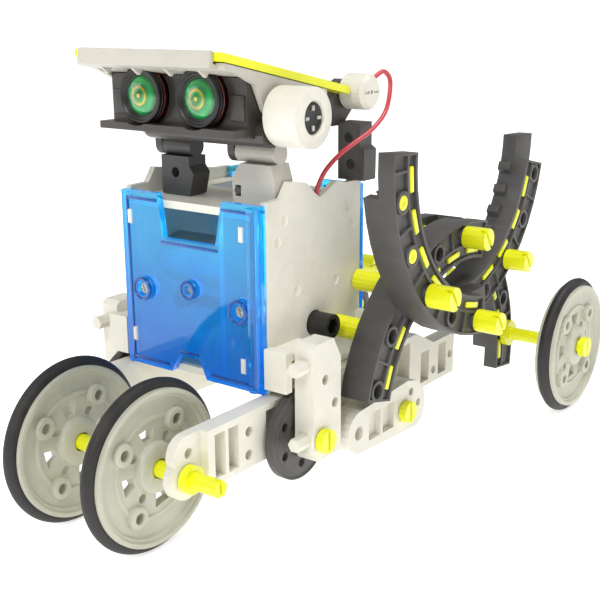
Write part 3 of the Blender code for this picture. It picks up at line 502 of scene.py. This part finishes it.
def ring_piece(radii, angles, thick, centre, x):
    """Part of a flat ring in millimetres, from x to x + thick, between two angles under 180 degrees apart."""
    deselect_all()
    bpy.ops.mesh.primitive_cylinder_add(vertices=180, radius=radii[1] * MM, depth=thick * MM)
    ring = bpy.context.object
    bpy.ops.mesh.primitive_cylinder_add(vertices=180, radius=radii[0] * MM, depth=thick * 2 * MM)
    cut(ring, [bpy.context.object])
    only(ring)
    # Along X now, so that an angle of 0 points along +Y and 90 along +Z.
    ring.data.transform(Matrix.Rotation(math.pi / 2, 4, "Z") @ Matrix.Rotation(math.pi / 2, 4, "X"))
    bpy.ops.object.mode_set(mode="EDIT")
    for angle, sign in ((angles[0], -1), (angles[1], 1)):
        t = math.radians(angle)
        bpy.ops.mesh.select_all(action="SELECT")
        bpy.ops.mesh.bisect(
            plane_co=(0, 0, 0),
            plane_no=(0, -sign * math.sin(t), sign * math.cos(t)),
            clear_outer=True,
            use_fill=True,
            threshold=1e-7,
        )
    bpy.ops.mesh.select_all(action="SELECT")
    bpy.ops.mesh.normals_make_consistent(inside=False)
    bpy.ops.object.mode_set(mode="OBJECT")
    ring.data.transform(Matrix.Translation(at(x + thick / 2, *centre)))
    return ring


def merged_copy(node):
    """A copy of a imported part's mesh with its loose triangles joined, to be worked on further."""
    piece = NODES[node].copy()
    piece.data = NODES[node].data.copy()
    piece.modifiers.clear()
    bpy.context.scene.collection.objects.link(piece)
    only(piece)
    bpy.ops.object.mode_set(mode="EDIT")
    bpy.ops.mesh.select_all(action="SELECT")
    bpy.ops.mesh.remove_doubles(threshold=1e-6)
    bpy.ops.mesh.dissolve_limited(angle_limit=math.radians(0.5))
    bpy.ops.object.mode_set(mode="OBJECT")
    return piece


def copy_of(piece, place, turn):
    """A copy with its own mesh, turned and then moved to a place in metres."""
    other = piece.copy()
    other.data = piece.data.copy()
    bpy.context.scene.collection.objects.link(other)
    other.data.transform(Matrix.Translation(place) @ turn)
    return other


def polar(centre, radius, degrees):
    """The point at a radius and an angle from a centre, in the plane of that centre's two numbers."""
    angle = math.radians(degrees)
    return centre[0] + radius * math.cos(angle), centre[1] + radius * math.sin(angle)


# Sizes and colours that a user would change.


class RobotKitColours(bpy.types.PropertyGroup):
    """Colours of the mouldings, as sRGB hex codes."""

    charcoal_code: bpy.props.StringProperty(name="Charcoal", description="Curved beams and necks", default="#4a4846")
    head_code: bpy.props.StringProperty(name="Head", description="Head shell", default="#3b3632")
    white_code: bpy.props.StringProperty(name="White", description="Side beams, panels and rims", default="#e6e3d6")
    rim_code: bpy.props.StringProperty(name="Rims", description="Wheel rims", default="#bebdac")
    grey_code: bpy.props.StringProperty(name="Grey", description="Visor and left neck", default="#c4c0b5")
    yellow_code: bpy.props.StringProperty(name="Yellow", description="Pins, studs and panel frame", default="#eef019")
    blue_code: bpy.props.StringProperty(name="Clear blue", description="Covers, upper part", default="#4adcff")
    # The covers' lower part is given this deeper blue as painted shade.
    blue_painted_shade_code: bpy.props.StringProperty(name="Deep blue", description="Covers, lower part", default="#0a74ea")
    # Colour of the covers' painted glow: light that the clear sheet gives off, though it is no lamp.
    blue_painted_glow_code: bpy.props.StringProperty(
        name="Blue glow", description="Light inside the covers", default="#0791ee"
    )
    # Painted shade for the dark lines along the thick edges of the clear covers.
    blue_painted_edge_shade_code: bpy.props.StringProperty(
        name="Blue edge", description="Ribs and bosses of covers", default="#0b4a9e"
    )
    wire_code: bpy.props.StringProperty(name="Wire", description="Wire insulation", default="#c9404a")


class RobotKitSizes(bpy.types.PropertyGroup):
    """Sizes of the fine detail."""

    lip_width: bpy.props.FloatProperty(
        name="Rim lip", description="Width of a wheel rim's outer lip", default=1.4, min=0.5, max=3.0
    )
    dash_length: bpy.props.FloatProperty(
        name="Dash length",
        description="Length of a yellow dash on a curved beam, in mm",
        default=8.0,
        min=1.0,
        max=10.0,
    )
    edge_round: bpy.props.FloatProperty(
        name="Edge round", description="Rounding of the moulded edges, in mm", default=0.22, min=0.05, max=0.5
    )


class ROBOTKIT_OT_finishes(bpy.types.Operator):
    """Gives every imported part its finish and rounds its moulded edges"""

    bl_idname = "robotkit.finishes"
    bl_label = "Finishes"

    def execute(self, context):
        make_finishes(context.scene.robotkit_colours)
        by_slot = {
            "charcoal_plastic": "charcoal",
            "white_plastic": "white",
            "grey_plastic": "grey",
            "yellow_plastic": "yellow",
            "blue_clear": "blue",
            "green_plastic": "green",
            "black_plastic": "black",
            "black_gloss": "black",
            "motor_steel": "steel",
            "black_rubber": "rubber",
            "red_insulation": "wire",
        }
        slots = {entry["node"]: entry["material_slot"] for entry in frame["record"]["subparts"]}
        for name, node in NODES.items():
            finish = FINISH[by_slot[slots[name]]]
            if name == "head_shell":
                finish = FINISH["head"]
            node.data.materials.clear()
            node.data.materials.append(finish)
            for face in node.data.polygons:
                face.material_index = 0
            only(node)
            bpy.ops.object.shade_smooth_by_angle(angle=math.radians(32))
            soften(node, context.scene.robotkit_sizes.edge_round, 38)
        return {"FINISHED"}


class ROBOTKIT_OT_wheels(bpy.types.Operator):
    """Four turned rims with bosses, holes and pockets, and their rubber rings"""

    bl_idname = "robotkit.wheels"
    bl_label = "Wheels"

    def rim(self, lip):
        """One rim along Z: lip, sloped shoulder, deep dish, raised ring and hub on both faces."""
        steps = (
            (lip, 0.0),
            (0.35, -0.9),
            (0.8, 0.0),
            (0.5, -1.0),
            (4.6, -0.2),
            (0.3, 0.5),
            (1.1, 0.0),
            (0.3, -0.5),
            (6.6, 0.0),
            (0.5, 1.9),
            (1.0, 0.5),
        )
        rim = turned(RIM_R, 7.2, 96, steps, steps)
        bosses = []
        holes = []
        for i in range(4):
            angle = 45 + 90 * i
            boss = turned(3.5, 6.0, 32, ((0.4, 0.4), (1.2, 0.0)), ((0.4, 0.4), (1.2, 0.0)))
            bosses.append(put_round(boss, RIM_BOSSES_R, angle))
            holes.append(put_round(turned(1.75, 12.0, 24, ((0.2, 0.2),)), RIM_BOSSES_R, angle))
            holes.append(put_round(turned(1.45, 12.0, 24, ((0.2, 0.2),)), RIM_HOLES_R, angle))
        holes.append(turned(BORE_R, 16.0, 32, ((0.2, 0.2),)))
        bpy.context.view_layer.update()
        cut(rim, bosses, "UNION")
        cut(rim, holes)
        # Four wedge windows between the inner holes, each a block pulled in at its hub end.
        wedges = []
        for i in range(4):
            wedge = block((4.2, 5.8, 12.0), Vector((10.6 * MM, 0, 0)))
            only(wedge)
            bpy.ops.object.transform_apply(location=True, rotation=False, scale=False)
            bpy.ops.object.mode_set(mode="EDIT")
            faces_where(wedge, lambda middle, normal: normal.x < -0.9)
            bpy.ops.transform.resize(value=(1.0, 0.55, 1.0), center_override=(8.5 * MM, 0, 0))
            bpy.ops.object.mode_set(mode="OBJECT")
            wedge.data.transform(Matrix.Rotation(math.radians(90 * i), 4, "Z"))
            wedges.append(wedge)
        cut(rim, wedges)
        return rim

    def ring(self):
        """One rubber ring along Z, with the thin raised line that the mould leaves round its middle."""
        ring = torus(RING_R, RING_THICK, 96, 20)
        bpy.ops.object.mode_set(mode="EDIT")
        work = bmesh.from_edit_mesh(ring.data)
        bpy.context.tool_settings.mesh_select_mode = (True, False, False)
        for vert in work.verts:
            vert.select = Vector((vert.co.x, vert.co.y)).length > (RING_R + RING_THICK - 0.01) * MM
        work.select_flush_mode()
        bmesh.update_edit_mesh(ring.data)
        bpy.ops.transform.shrink_fatten(value=0.03 * MM)
        bpy.ops.object.mode_set(mode="OBJECT")
        return ring

    def execute(self, context):
        rim = self.rim(context.scene.robotkit_sizes.lip_width)
        ring = self.ring()
        turn = Matrix.Rotation(math.pi / 2, 4, "Y")
        for end in ("front", "rear"):
            for suffix, side in SIDES:
                middle = middle_of(f"{end}_{suffix}_rim")
                body = f"{end}_wheel_{suffix}"
                lean = Matrix.Rotation(math.radians(0 if end == "rear" else 12), 4, "X")
                shown = copy_of(rim, middle, lean @ turn)
                settle(shown, f"{end}_{suffix}_rim_turned", "rim", body, 0.18)
                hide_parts(f"{end}_{suffix}_rim")
                shown = copy_of(ring, middle, turn)
                settle(shown, f"{end}_{suffix}_rubber_ring", "rubber", body, 0.0, 60)
                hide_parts(f"{end}_{suffix}_tyre")
        bpy.data.objects.remove(rim)
        bpy.data.objects.remove(ring)
        return {"FINISHED"}


class ROBOTKIT_OT_rollers(bpy.types.Operator):
    """Idler rollers with a raised edge and a ring of lightening pockets"""

    bl_idname = "robotkit.rollers"
    bl_label = "Idler rollers"

    def execute(self, context):
        steps = ((0.5, 0.0), (0.3, -0.35), (1.4, 0.0), (0.25, 0.25), (5.6, 0.0), (0.3, -0.4), (1.6, 0.0))
        disc = turned(ROLLER_R, 2.9, 96, steps, steps)
        pockets = []
        for i in range(6):
            pockets.append(put_round(turned(1.5, 6.0, 24, ((0.2, 0.2),)), ROLLER_POCKETS_R, 60 * i))
        pockets.append(turned(BORE_R, 8.0, 32, ((0.2, 0.2),)))
        bpy.context.view_layer.update()
        cut(disc, pockets)
        for suffix, side in SIDES:
            node = f"mid_roller_{suffix}"
            shown = copy_of(disc, middle_of(node), Matrix.Rotation(math.pi / 2, 4, "Y"))
            settle(shown, f"roller_disc_{suffix}", "charcoal", f"roller_{suffix}", 0.12)
            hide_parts(node)
        bpy.data.objects.remove(disc)
        return {"FINISHED"}


class ROBOTKIT_OT_eyes(bpy.types.Operator):
    """Stepped eye barrels, red-brown rings round them and green lenses inside"""

    bl_idname = "robotkit.eyes"
    bl_label = "Eyes"

    def execute(self, context):
        for suffix, side in SIDES:
            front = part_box(f"eye_{suffix}")[0][1]
            middle = middle_of(f"eye_{suffix}")
            steps = (
                (0.35, 0.25),
                (0.5, 0.0),
                (0.5, -0.6),
                (0.5, -0.1),
                (0.25, -0.5),
                (0.4, -0.1),
                (0.2, -0.3),
            )
            barrel = turned(8.6, 3.2, 64, steps)
            aim(barrel, "-Y", Vector((middle.x, front + 1.9 * MM, middle.z)))
            settle(barrel, f"eye_barrel_{suffix}", "black", "head", 0.1)
            body = turned(7.15, 6.6, 64, ((0.3, 0.2),), ((0.5, 0.3), (2.0, 0.0)))
            aim(body, "-Y", Vector((middle.x, front + 6.7 * MM, middle.z)))
            settle(body, f"eye_body_{suffix}", "black", "head", 0.1)
            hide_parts(f"eye_{suffix}")
            for i, (radius, y) in enumerate(((8.68, 1.1), (8.64, 2.2), (7.3, 4.4), (7.3, 5.8), (7.3, 7.2))):
                band = torus(radius - 0.1, 0.24, 72, 8)
                band.scale = (1.0, 1.0, 0.8)
                aim(band, "-Y", Vector((middle.x, front + y * MM + 0.4 * MM, middle.z)))
                settle(band, f"eye_band_{i}_{suffix}", "copper" if i % 2 else "black", "head")
            deselect_all()
            bpy.ops.mesh.primitive_uv_sphere_add(segments=64, ring_count=24, radius=6.75 * MM)
            lens = bpy.context.object
            bpy.ops.object.mode_set(mode="EDIT")
            bpy.ops.mesh.select_all(action="SELECT")
            bpy.ops.mesh.bisect(
                plane_co=(0, 0, 3.4 * MM), plane_no=(0, 0, 1), clear_inner=True, use_fill=True, threshold=1e-7
            )
            bpy.ops.mesh.select_all(action="SELECT")
            bpy.ops.transform.resize(value=(1.13, 1.13, 0.62), center_override=(0, 0, 3.4 * MM))
            bpy.ops.object.mode_set(mode="OBJECT")
            layer = lens.data.uv_layers.active or lens.data.uv_layers.new(name="UVMap")
            for loop in lens.data.loops:
                co = lens.data.vertices[loop.vertex_index].co
                layer.data[loop.index].uv = (co.x / (13.6 * MM) + 0.5, co.y / (13.6 * MM) + 0.5)
            aim(lens, "-Y", Vector((middle.x, front + 5.2 * MM, middle.z)))
            settle(lens, f"eye_lens_{suffix}", "glass", "head", 0.0, 80)
        return {"FINISHED"}


class ROBOTKIT_OT_solar_panel(bpy.types.Operator):
    """Solar cells set in the yellow frame, with silver bus bars between them"""

    bl_idname = "robotkit.solar_panel"
    bl_label = "Solar panel"

    def execute(self, context):
        lowest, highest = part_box("solar_panel")
        run = highest[1] - lowest[1]
        slope = math.atan2(-PANEL_FALL, PANEL_RUN)
        middle = middle_of("solar_panel")
        tilt = Matrix.Translation((0, middle.y, middle.z)) @ Matrix.Rotation(slope, 4, "X")
        half_x = (highest[0] - lowest[0]) / 2
        rows = 3
        columns = 2
        length = (run - 11.5 * MM) / rows
        width = (2 * half_x - 9.0 * MM) / columns
        for row in range(rows):
            for column in range(columns):
                x = (column - (columns - 1) / 2) * width
                y = (row - (rows - 1) / 2) * length
                cell = block(((width / MM) - 0.5, (length / MM) - 0.5, 0.5), Vector((x, y, 0.75 * MM)), 0.12)
                only(cell)
                bpy.ops.object.transform_apply(location=True, rotation=False, scale=False)
                cell.data.transform(tilt)
                settle(cell, f"solar_cell_{row}_{column}", "cells", "head")
            bar = block((2 * half_x / MM - 9.6, 0.5, 0.16), Vector((0, (row - 1) * length, 1.1 * MM)), 0.05)
            only(bar)
            bpy.ops.object.transform_apply(location=True, rotation=False, scale=False)
            bar.data.transform(tilt)
            settle(bar, f"solar_bus_bar_{row}", "steel", "head")
        return {"FINISHED"}


class ROBOTKIT_OT_beam_trim(bpy.types.Operator):
    """Channels, ring bosses, cross ribs, yellow dashes and plug ends on the curved beams"""

    bl_idname = "robotkit.beam_trim"
    bl_label = "Beam trim"

    # Name, centre, and in degrees: where the outer plate starts and ends, its holes, its cross ribs
    # and its plugged holes.
    BEAMS = (
        (
            "upper_front",
            UPPER_CENTRE,
            (175.5, 265.7),
            (190, 208, 226, 244, 262),
            (181, 199, 217, 235, 253),
            (190, 208),
        ),
        (
            "upper_rear",
            UPPER_CENTRE,
            (268.0, 348.0),
            (271.5, 289.5, 307.5, 325.5, 343.5),
            (298.5, 316.5, 334.5),
            (),
        ),
        (
            "lower_front",
            LOWER_CENTRE,
            (76.0, 166.0),
            (90.6, 108.6, 126.6, 144.6, 162.6),
            (99.6, 117.6, 135.6, 153.6),
            (),
        ),
        (
            "lower_rear",
            LOWER_CENTRE,
            (-7.6, 82.4),
            (22, 38, 54, 70),
            (14, 30, 46, 62, 78),
            (),
        ),
    )

    def channels(self, node, name, face, side, centre, span, holes, ribs):
        """The outer face with two shallow channels between its lips and its middle rib, and a boss at each hole."""
        x = face - CHANNEL_DEPTH if side > 0 else face - 1.0
        inside = (span[0] + 0.8, span[1] - 0.8)
        dash_channel = ring_piece(DASH_CHANNEL, inside, CHANNEL_DEPTH + 1.0, centre, x)
        hole_channel = ring_piece(HOLE_CHANNEL, inside, CHANNEL_DEPTH + 1.0, centre, x)
        keep = []
        for angle in holes:
            y, z = polar(centre, HOLES_R, angle)
            keep.append(aim(turned(BOSS_R, 6.0, 32), "+X", at(face, y, z)))
        for angle in ribs:
            rib = block((6.0, 9.0, 0.8), Vector((0, 0, 0)))
            only(rib)
            rib.data.transform(Matrix.Rotation(math.radians(angle), 4, "X"))
            y, z = polar(centre, 59.3, angle)
            rib.data.transform(Matrix.Translation(at(face, y, z)))
            keep.append(rib)
        cut(hole_channel, keep)
        shown = merged_copy(node)
        cut(shown, [dash_channel, hole_channel])
        settle(shown, name, "charcoal", "chassis", 0.14)
        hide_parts(node)

    def dashes(self, name, face, side, centre, span, length):
        """A row of yellow dashes set in the narrow channel, as one piece."""
        count = int((span[1] - span[0]) / DASH_STEP)
        margin = (span[1] - span[0] - (count - 1) * DASH_STEP) / 2
        group = []
        for i in range(count):
            angle = span[0] + margin + i * DASH_STEP
            dash = block((1.1, 2.1, length), Vector((0, 0, 0)))
            only(dash)
            bpy.ops.object.mode_set(mode="EDIT")
            bpy.ops.mesh.select_all(action="SELECT")
            bpy.ops.mesh.bevel(offset=0.4 * MM, segments=2, affect="EDGES")
            bpy.ops.object.mode_set(mode="OBJECT")
            y, z = polar(centre, DASHES_R, angle)
            place = at(face - side * (CHANNEL_DEPTH - 0.45), y, z)
            dash.data.transform(Matrix.Translation(place) @ Matrix.Rotation(math.radians(angle), 4, "X"))
            group.append(dash)
        deselect_all()
        for dash in group:
            dash.select_set(True)
        bpy.context.view_layer.objects.active = group[0]
        bpy.ops.object.join()
        settle(group[0], name, "yellow", "chassis")

    def execute(self, context):
        length = context.scene.robotkit_sizes.dash_length
        for suffix, side in SIDES:
            for name, centre, span, holes, ribs, plugs in self.BEAMS:
                node = f"beam_{name}_{suffix}"
                if node not in NODES:
                    continue
                lowest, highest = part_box(node)
                face = (highest[0] if side > 0 else lowest[0]) / MM
                self.channels(node, f"curved_{node}", face, side, centre, span, holes, ribs)
                self.dashes(f"dashes_{name}_{suffix}", face, side, centre, span, length)
                for i, angle in enumerate(plugs):
                    y, z = polar(centre, HOLES_R, angle)
                    plug = turned(2.35, 3.0, 24, ((0.25, 0.15), (0.9, 0.0), (0.2, -0.5)))
                    aim(plug, "+X" if side > 0 else "-X", at(face - side * 1.6, y, z))
                    settle(plug, f"plug_{name}_{i}_{suffix}", "yellow", "chassis", 0.08)
        return {"FINISHED"}


class ROBOTKIT_OT_body_detail(bpy.types.Operator):
    """Screws, dimples, clips, ribs and pin ends on the gearbox body"""

    bl_idname = "robotkit.body_detail"
    bl_label = "Body detail"

    def screw(self, name, x, y, z, axis, radius=1.5):
        head = turned(radius, 0.9, 28, ((0.25, 0.2), (0.3, 0.0)))
        slots = []
        for turn in (0, math.pi / 2):
            slot = block((radius * 1.5, 0.36, 1.0), Vector((0, 0, 0.85 * MM)), 0.05)
            slot.rotation_euler = (0, 0, turn + 0.4)
            slots.append(slot)
        bpy.context.view_layer.update()
        cut(head, slots)
        aim(head, axis, at(x, y, z))
        settle(head, name, "steel", "chassis", 0.06)

    def cover_ribs(self):
        """Raised border ribs and boss rings on both clear covers, in a darker blue that is painted shade for the dark
        lines light makes along thick edges of clear plastic.
        """
        # Across and up from the middle of the cover, then width and height.
        rails = (
            (26.4, 68.9, 0.9, 56.0),
            (-26.4, 68.9, 0.9, 56.0),
            (-18.4, 42.2, 16.0, 0.9),
            (17.2, 42.2, 18.0, 0.9),
            (-19.8, 96.4, 13.0, 0.9),
            (20.2, 96.4, 12.0, 0.9),
            (0.0, 83.2, 24.0, 0.9),
            (-1.2, 47.6, 8.0, 0.9),
        )
        for end, sign, axis in COVER_ENDS:
            for i, (x, z, width, height) in enumerate(rails):
                rail = block((width, 0.5, height), at(sign * x, -sign * (COVER_FACE + 0.15), z), 0.0)
                settle(rail, f"cover_rib_{i}_{end}", "blue_edge", "chassis", 0.12)
            for i, (x, z, radius) in enumerate(COVER_BOSSES):
                ring = aim(torus(radius - 0.5, 0.5, 48, 10), axis, at(sign * x, -sign * (COVER_FACE + 1.1), z))
                settle(ring, f"cover_boss_{i}_{end}", "blue_edge", "chassis", 0.0, 60)

    def execute(self, context):
        for suffix, side in SIDES:
            axis = "+X" if side > 0 else "-X"
            for i, (y, z) in enumerate(PANEL_DIMPLES):
                dimple = turned(2.15, 1.6, 32, ((0.3, 0.0), (0.25, -0.45), (0.9, -0.12)))
                aim(dimple, axis, at(side * 28.85, y, z))
                settle(dimple, f"panel_dimple_{i}_{suffix}", "white", "chassis", 0.06)
            pin = turned(1.8, 1.6, 24, ((0.25, 0.15), (0.7, 0.0), (0.15, -0.4)))
            aim(pin, axis, at(side * 30.3, -13.1, 46.8))
            settle(pin, f"panel_pin_{suffix}", "yellow", "chassis", 0.08)
            stud = turned(3.7, 11.5, 32, ((0.4, 0.3), (1.4, 0.0), (0.2, -0.8)), ((0.4, 0.3),))
            slot = block((1.1, 9.0, 2.4), Vector((0, 0, 5.6 * MM)), 0.05)
            cut(stud, [slot])
            y, z = polar(LOWER_CENTRE, 58.1, 29.6)
            aim(stud, "-X" if side > 0 else "+X", at(side * 23.9, y, z))
            settle(stud, f"inner_stud_{suffix}", "yellow", "chassis", 0.1)
        for i, (x, z, _) in enumerate(COVER_BOSSES):
            self.screw(f"front_screw_{i}", x, -27.1, z, "-Y", 1.5 if i == 1 else 2.0)
            self.screw(f"rear_screw_{i}", -x, 27.1, z, "+Y", 1.5 if i == 1 else 2.0)
        for i, (x, z) in enumerate(COVER_CLIPS):
            for end, sign, axis in COVER_ENDS:
                clip = block((1.9, 4.9, 2.0), Vector((0, 0, 0)), 0.35)
                aim(clip, axis, at(sign * x, sign * -26.6, z))
                settle(clip, f"cover_clip_{i}_{end}", "white", "chassis", 0.1)
        for suffix, side in SIDES:
            clip = block((2.2, 6.0, 1.6), Vector((0, 0, 0)), 0.3)
            aim(clip, "+Z", at(side * 26.2, 25.9, 99.3))
            settle(clip, f"cyan_clip_{suffix}", "cyan", "chassis", 0.15)
        self.cover_ribs()
        tab = turned(1.3, 1.4, 24, ((0.2, 0.15),))
        aim(tab, "-Y", at(11.9, -16.4, 100.8))
        settle(tab, "neck_pin", "charcoal", "chassis", 0.08)
        return {"FINISHED"}


class ROBOTKIT_OT_head_trim(bpy.types.Operator):
    """Ear disc detail, grille bars of the ear, bar end cap and brow plates on the head"""

    bl_idname = "robotkit.head_trim"
    bl_label = "Head trim"

    def execute(self, context):
        lowest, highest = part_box("ear_disc")
        middle = middle_of("ear_disc")
        depth = (highest[0] - lowest[0]) / MM
        steps = (
            (0.5, 0.0),
            (0.8, 0.35),
            (1.2, 0.25),
            (1.0, 0.05),
            (0.35, -0.1),
            (0.25, -0.9),
            (0.3, -0.9),
        )
        disc = turned(8.95, depth - 1.2, 72, steps, ((1.2, 0.3), (1.4, 0.0)))
        aim(disc, "+X", Vector((middle.x - 0.3 * MM, middle.y, middle.z)))
        settle(disc, "ear_cap", "white", "head", 0.25, 40)
        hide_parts("ear_disc")
        pupil = turned(4.55, 0.8, 48, ((0.3, 0.1), (0.8, 0.0), (0.2, -0.2)))
        aim(pupil, "+X", Vector((highest[0] - 1.75 * MM, middle.y, middle.z)))
        settle(pupil, "ear_recess", "black", "head", 0.06)
        for i in range(4):
            y, z = polar((0, 0), 2.9, 90 * i)
            mark = block((0.95, 1.5, 0.5), Vector((0, 0, 0)), 0.12)
            mark.rotation_euler = (0, 0, math.radians(90 * i))
            bpy.context.view_layer.update()
            aim(mark, "+X", Vector((highest[0] - 1.25 * MM, middle.y + y * MM, middle.z + z * MM)))
            settle(mark, f"ear_mark_{i}", "grey", "head", 0.06)
        cap = turned(3.5, 1.6, 40, ((0.3, 0.2), (0.9, 0.0), (0.2, -0.4)))
        aim(cap, "-X", at(-18.2, -23.5, 119.7))
        settle(cap, "bar_end_cap", "grey", "head", 0.15)
        for side in (1, -1):
            plate = block((5.2, 7.5, 0.7), Vector((0, 0, 0)), 0.15)
            aim(plate, "-Y", at(side * 24.3, -30.7, 127.6))
            settle(plate, f"cheek_plate_{'left' if side > 0 else 'right'}", "head", "head", 0.2)
        return {"FINISHED"}


class ROBOTKIT_OT_wire(bpy.types.Operator):
    """The red wire from the rear knob to the notch in the left side panel"""

    bl_idname = "robotkit.wire"
    bl_label = "Red wire"

    KNOTS = (
        (31.0, 30.3, 133.2),
        (31.6, 35.2, 135.0),
        (32.6, 37.8, 131.6),
        (34.2, 33.2, 123.0),
        (35.6, 23.4, 117.8),
        (35.2, 14.4, 114.4),
        (33.4, 8.0, 111.0),
        (30.6, 3.8, 106.0),
        (28.6, 2.2, 100.6),
        (28.45, 2.2, 98.2),
    )

    def route(self):
        knots = [at(*knot) for knot in self.KNOTS]
        ends = [knots[0] * 2 - knots[1]] + knots + [knots[-1] * 2 - knots[-2]]
        path = []
        for i in range(1, len(ends) - 2):
            a, b, c, d = ends[i - 1 : i + 3]
            for j in range(5):
                t = j / 5
                path.append(
                    0.5 * (2 * b + (c - a) * t + (2 * a - 5 * b + 4 * c - d) * t * t + (3 * b - a - 3 * c + d) * t**3)
                )
        path.append(knots[-1])
        return path

    def execute(self, context):
        path = self.route()
        line = bpy.data.curves.new("wire_line", "CURVE")
        line.dimensions = "3D"
        line.bevel_depth = 0.75 * MM
        line.bevel_resolution = 5
        line.use_fill_caps = True
        spline = line.splines.new("POLY")
        spline.points.add(len(path) - 1)
        for point, place in zip(spline.points, path):
            point.co = (*place, 1.0)
        tube = bpy.data.objects.new("wire_tube", line)
        bpy.context.scene.collection.objects.link(tube)
        only(tube)
        bpy.ops.object.convert(target="MESH")
        tube = bpy.context.object
        tube.name = "wire_red"
        tube.data.materials.clear()
        tube.data.materials.append(FINISH["wire"])
        for face in tube.data.polygons:
            face.use_smooth = True
        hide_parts("red_wire")
        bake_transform(tube)
        return {"FINISHED"}


class ROBOTKIT_OT_stage(bpy.types.Operator):
    """Pale floor, soft studio light and the camera"""

    bl_idname = "robotkit.stage"
    bl_label = "Stage"

    def light(self, name, place, target, size, power, colour=(1, 1, 1)):
        lamp = bpy.data.lights.new(name, "AREA")
        lamp.shape = "DISK"
        lamp.size = size
        lamp.energy = power
        lamp.color = colour
        holder = bpy.data.objects.new(name, lamp)
        bpy.context.scene.collection.objects.link(holder)
        holder.location = place
        holder.rotation_euler = (Vector(target) - Vector(place)).to_track_quat("-Z", "Y").to_euler()

    def execute(self, context):
        deselect_all()
        bpy.ops.mesh.primitive_plane_add(size=30.0)
        floor = bpy.context.object
        floor.name = "studio_floor"
        material, shader, where = new_finish("studio_floor_paper")
        paper = noise(material, (where, "Object"), 4.0, 2.0)
        tone = mix(material, (paper, 0), linear("#fbfbfb"), linear("#ffffff"))
        material.node_tree.links.new(tone.outputs[2], shader.inputs["Base Color"])
        white = (1.0, 1.0, 1.0, 1.0)
        set_inputs(shader, Roughness=0.9, Specular_IOR_Level=0.1, Emission_Color=white, Emission_Strength=0.66)
        floor.data.materials.append(material)
        floor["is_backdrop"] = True
        world = bpy.data.worlds.new("studio")
        world.use_nodes = True
        sky = world.node_tree.nodes["Background"]
        sky.inputs["Color"].default_value = (1.0, 1.0, 1.0, 1.0)
        # The backdrop is seen white, and lights the robot at less than half of that.
        ray = world.node_tree.nodes.new("ShaderNodeLightPath")
        power = world.node_tree.nodes.new("ShaderNodeMapRange")
        power.inputs["To Min"].default_value = 0.40
        power.inputs["To Max"].default_value = 1.0
        world.node_tree.links.new(ray.outputs["Is Camera Ray"], power.inputs["Value"])
        world.node_tree.links.new(power.outputs[0], sky.inputs["Strength"])
        context.scene.world = world
        aim_at = (0.0, 0.0, 0.07)
        self.light("key", (0.30, -0.85, 0.85), aim_at, 0.40, 5.6)
        self.light("fill", (-0.9, -0.5, 0.5), aim_at, 0.9, 2.5)
        self.light("top", (0.25, 0.35, 1.1), aim_at, 0.6, 6.0)
        lens = bpy.data.cameras.new("camera")
        lens.lens = LENS_MM
        lens.sensor_width = 36.0
        lens.clip_start = 0.01
        lens.clip_end = 50.0
        camera = bpy.data.objects.new("camera", lens)
        bpy.context.scene.collection.objects.link(camera)
        level = Matrix.Rotation(math.radians(CAMERA_TURN), 4, "Z") @ Matrix.Rotation(
            math.radians(90 - CAMERA_DOWN), 4, "X"
        )
        roll = Matrix.Rotation(math.radians(CAMERA_ROLL), 4, "Z")
        camera.matrix_world = Matrix.Translation(at(*CAMERA_PLACE)) @ level @ roll
        context.scene.camera = camera
        context.scene.view_settings.view_transform = "Standard"
        return {"FINISHED"}


OPERATORS = (
    ROBOTKIT_OT_finishes,
    ROBOTKIT_OT_wheels,
    ROBOTKIT_OT_rollers,
    ROBOTKIT_OT_eyes,
    ROBOTKIT_OT_solar_panel,
    ROBOTKIT_OT_beam_trim,
    ROBOTKIT_OT_body_detail,
    ROBOTKIT_OT_head_trim,
    ROBOTKIT_OT_wire,
    ROBOTKIT_OT_stage,
)


class ROBOTKIT_PT_panel(bpy.types.Panel):
    """Buttons and values for the robot kit"""

    bl_idname = "ROBOTKIT_PT_panel"
    bl_label = "Robot Kit"
    bl_space_type = "VIEW_3D"
    bl_region_type = "UI"
    bl_category = "Robot Kit"

    def draw(self, context):
        layout = self.layout
        for group in (context.scene.robotkit_colours, context.scene.robotkit_sizes):
            for key in group.__annotations__:
                layout.prop(group, key)
        for operator in OPERATORS:
            layout.operator(operator.bl_idname)


CLASSES = (RobotKitColours, RobotKitSizes) + OPERATORS + (ROBOTKIT_PT_panel,)


def register():
    for kind in CLASSES:
        bpy.utils.register_class(kind)
    bpy.types.Scene.robotkit_colours = bpy.props.PointerProperty(type=RobotKitColours)
    bpy.types.Scene.robotkit_sizes = bpy.props.PointerProperty(type=RobotKitSizes)


def unregister():
    del bpy.types.Scene.robotkit_sizes
    del bpy.types.Scene.robotkit_colours
    for kind in reversed(CLASSES):
        bpy.utils.unregister_class(kind)


def main():
    register()
    bpy.ops.robotkit.finishes()
    bpy.ops.robotkit.wheels()
    bpy.ops.robotkit.rollers()
    bpy.ops.robotkit.eyes()
    bpy.ops.robotkit.solar_panel()
    bpy.ops.robotkit.beam_trim()
    bpy.ops.robotkit.body_detail()
    bpy.ops.robotkit.head_trim()
    bpy.ops.robotkit.wire()
    bpy.ops.robotkit.stage()
    boxes = {"cad": CAD_BOX, "visual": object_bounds()}
    boxes = {name: [[float(c) for c in corner] for corner in box] for name, box in boxes.items()}


if __name__ == "__main__":
    main()
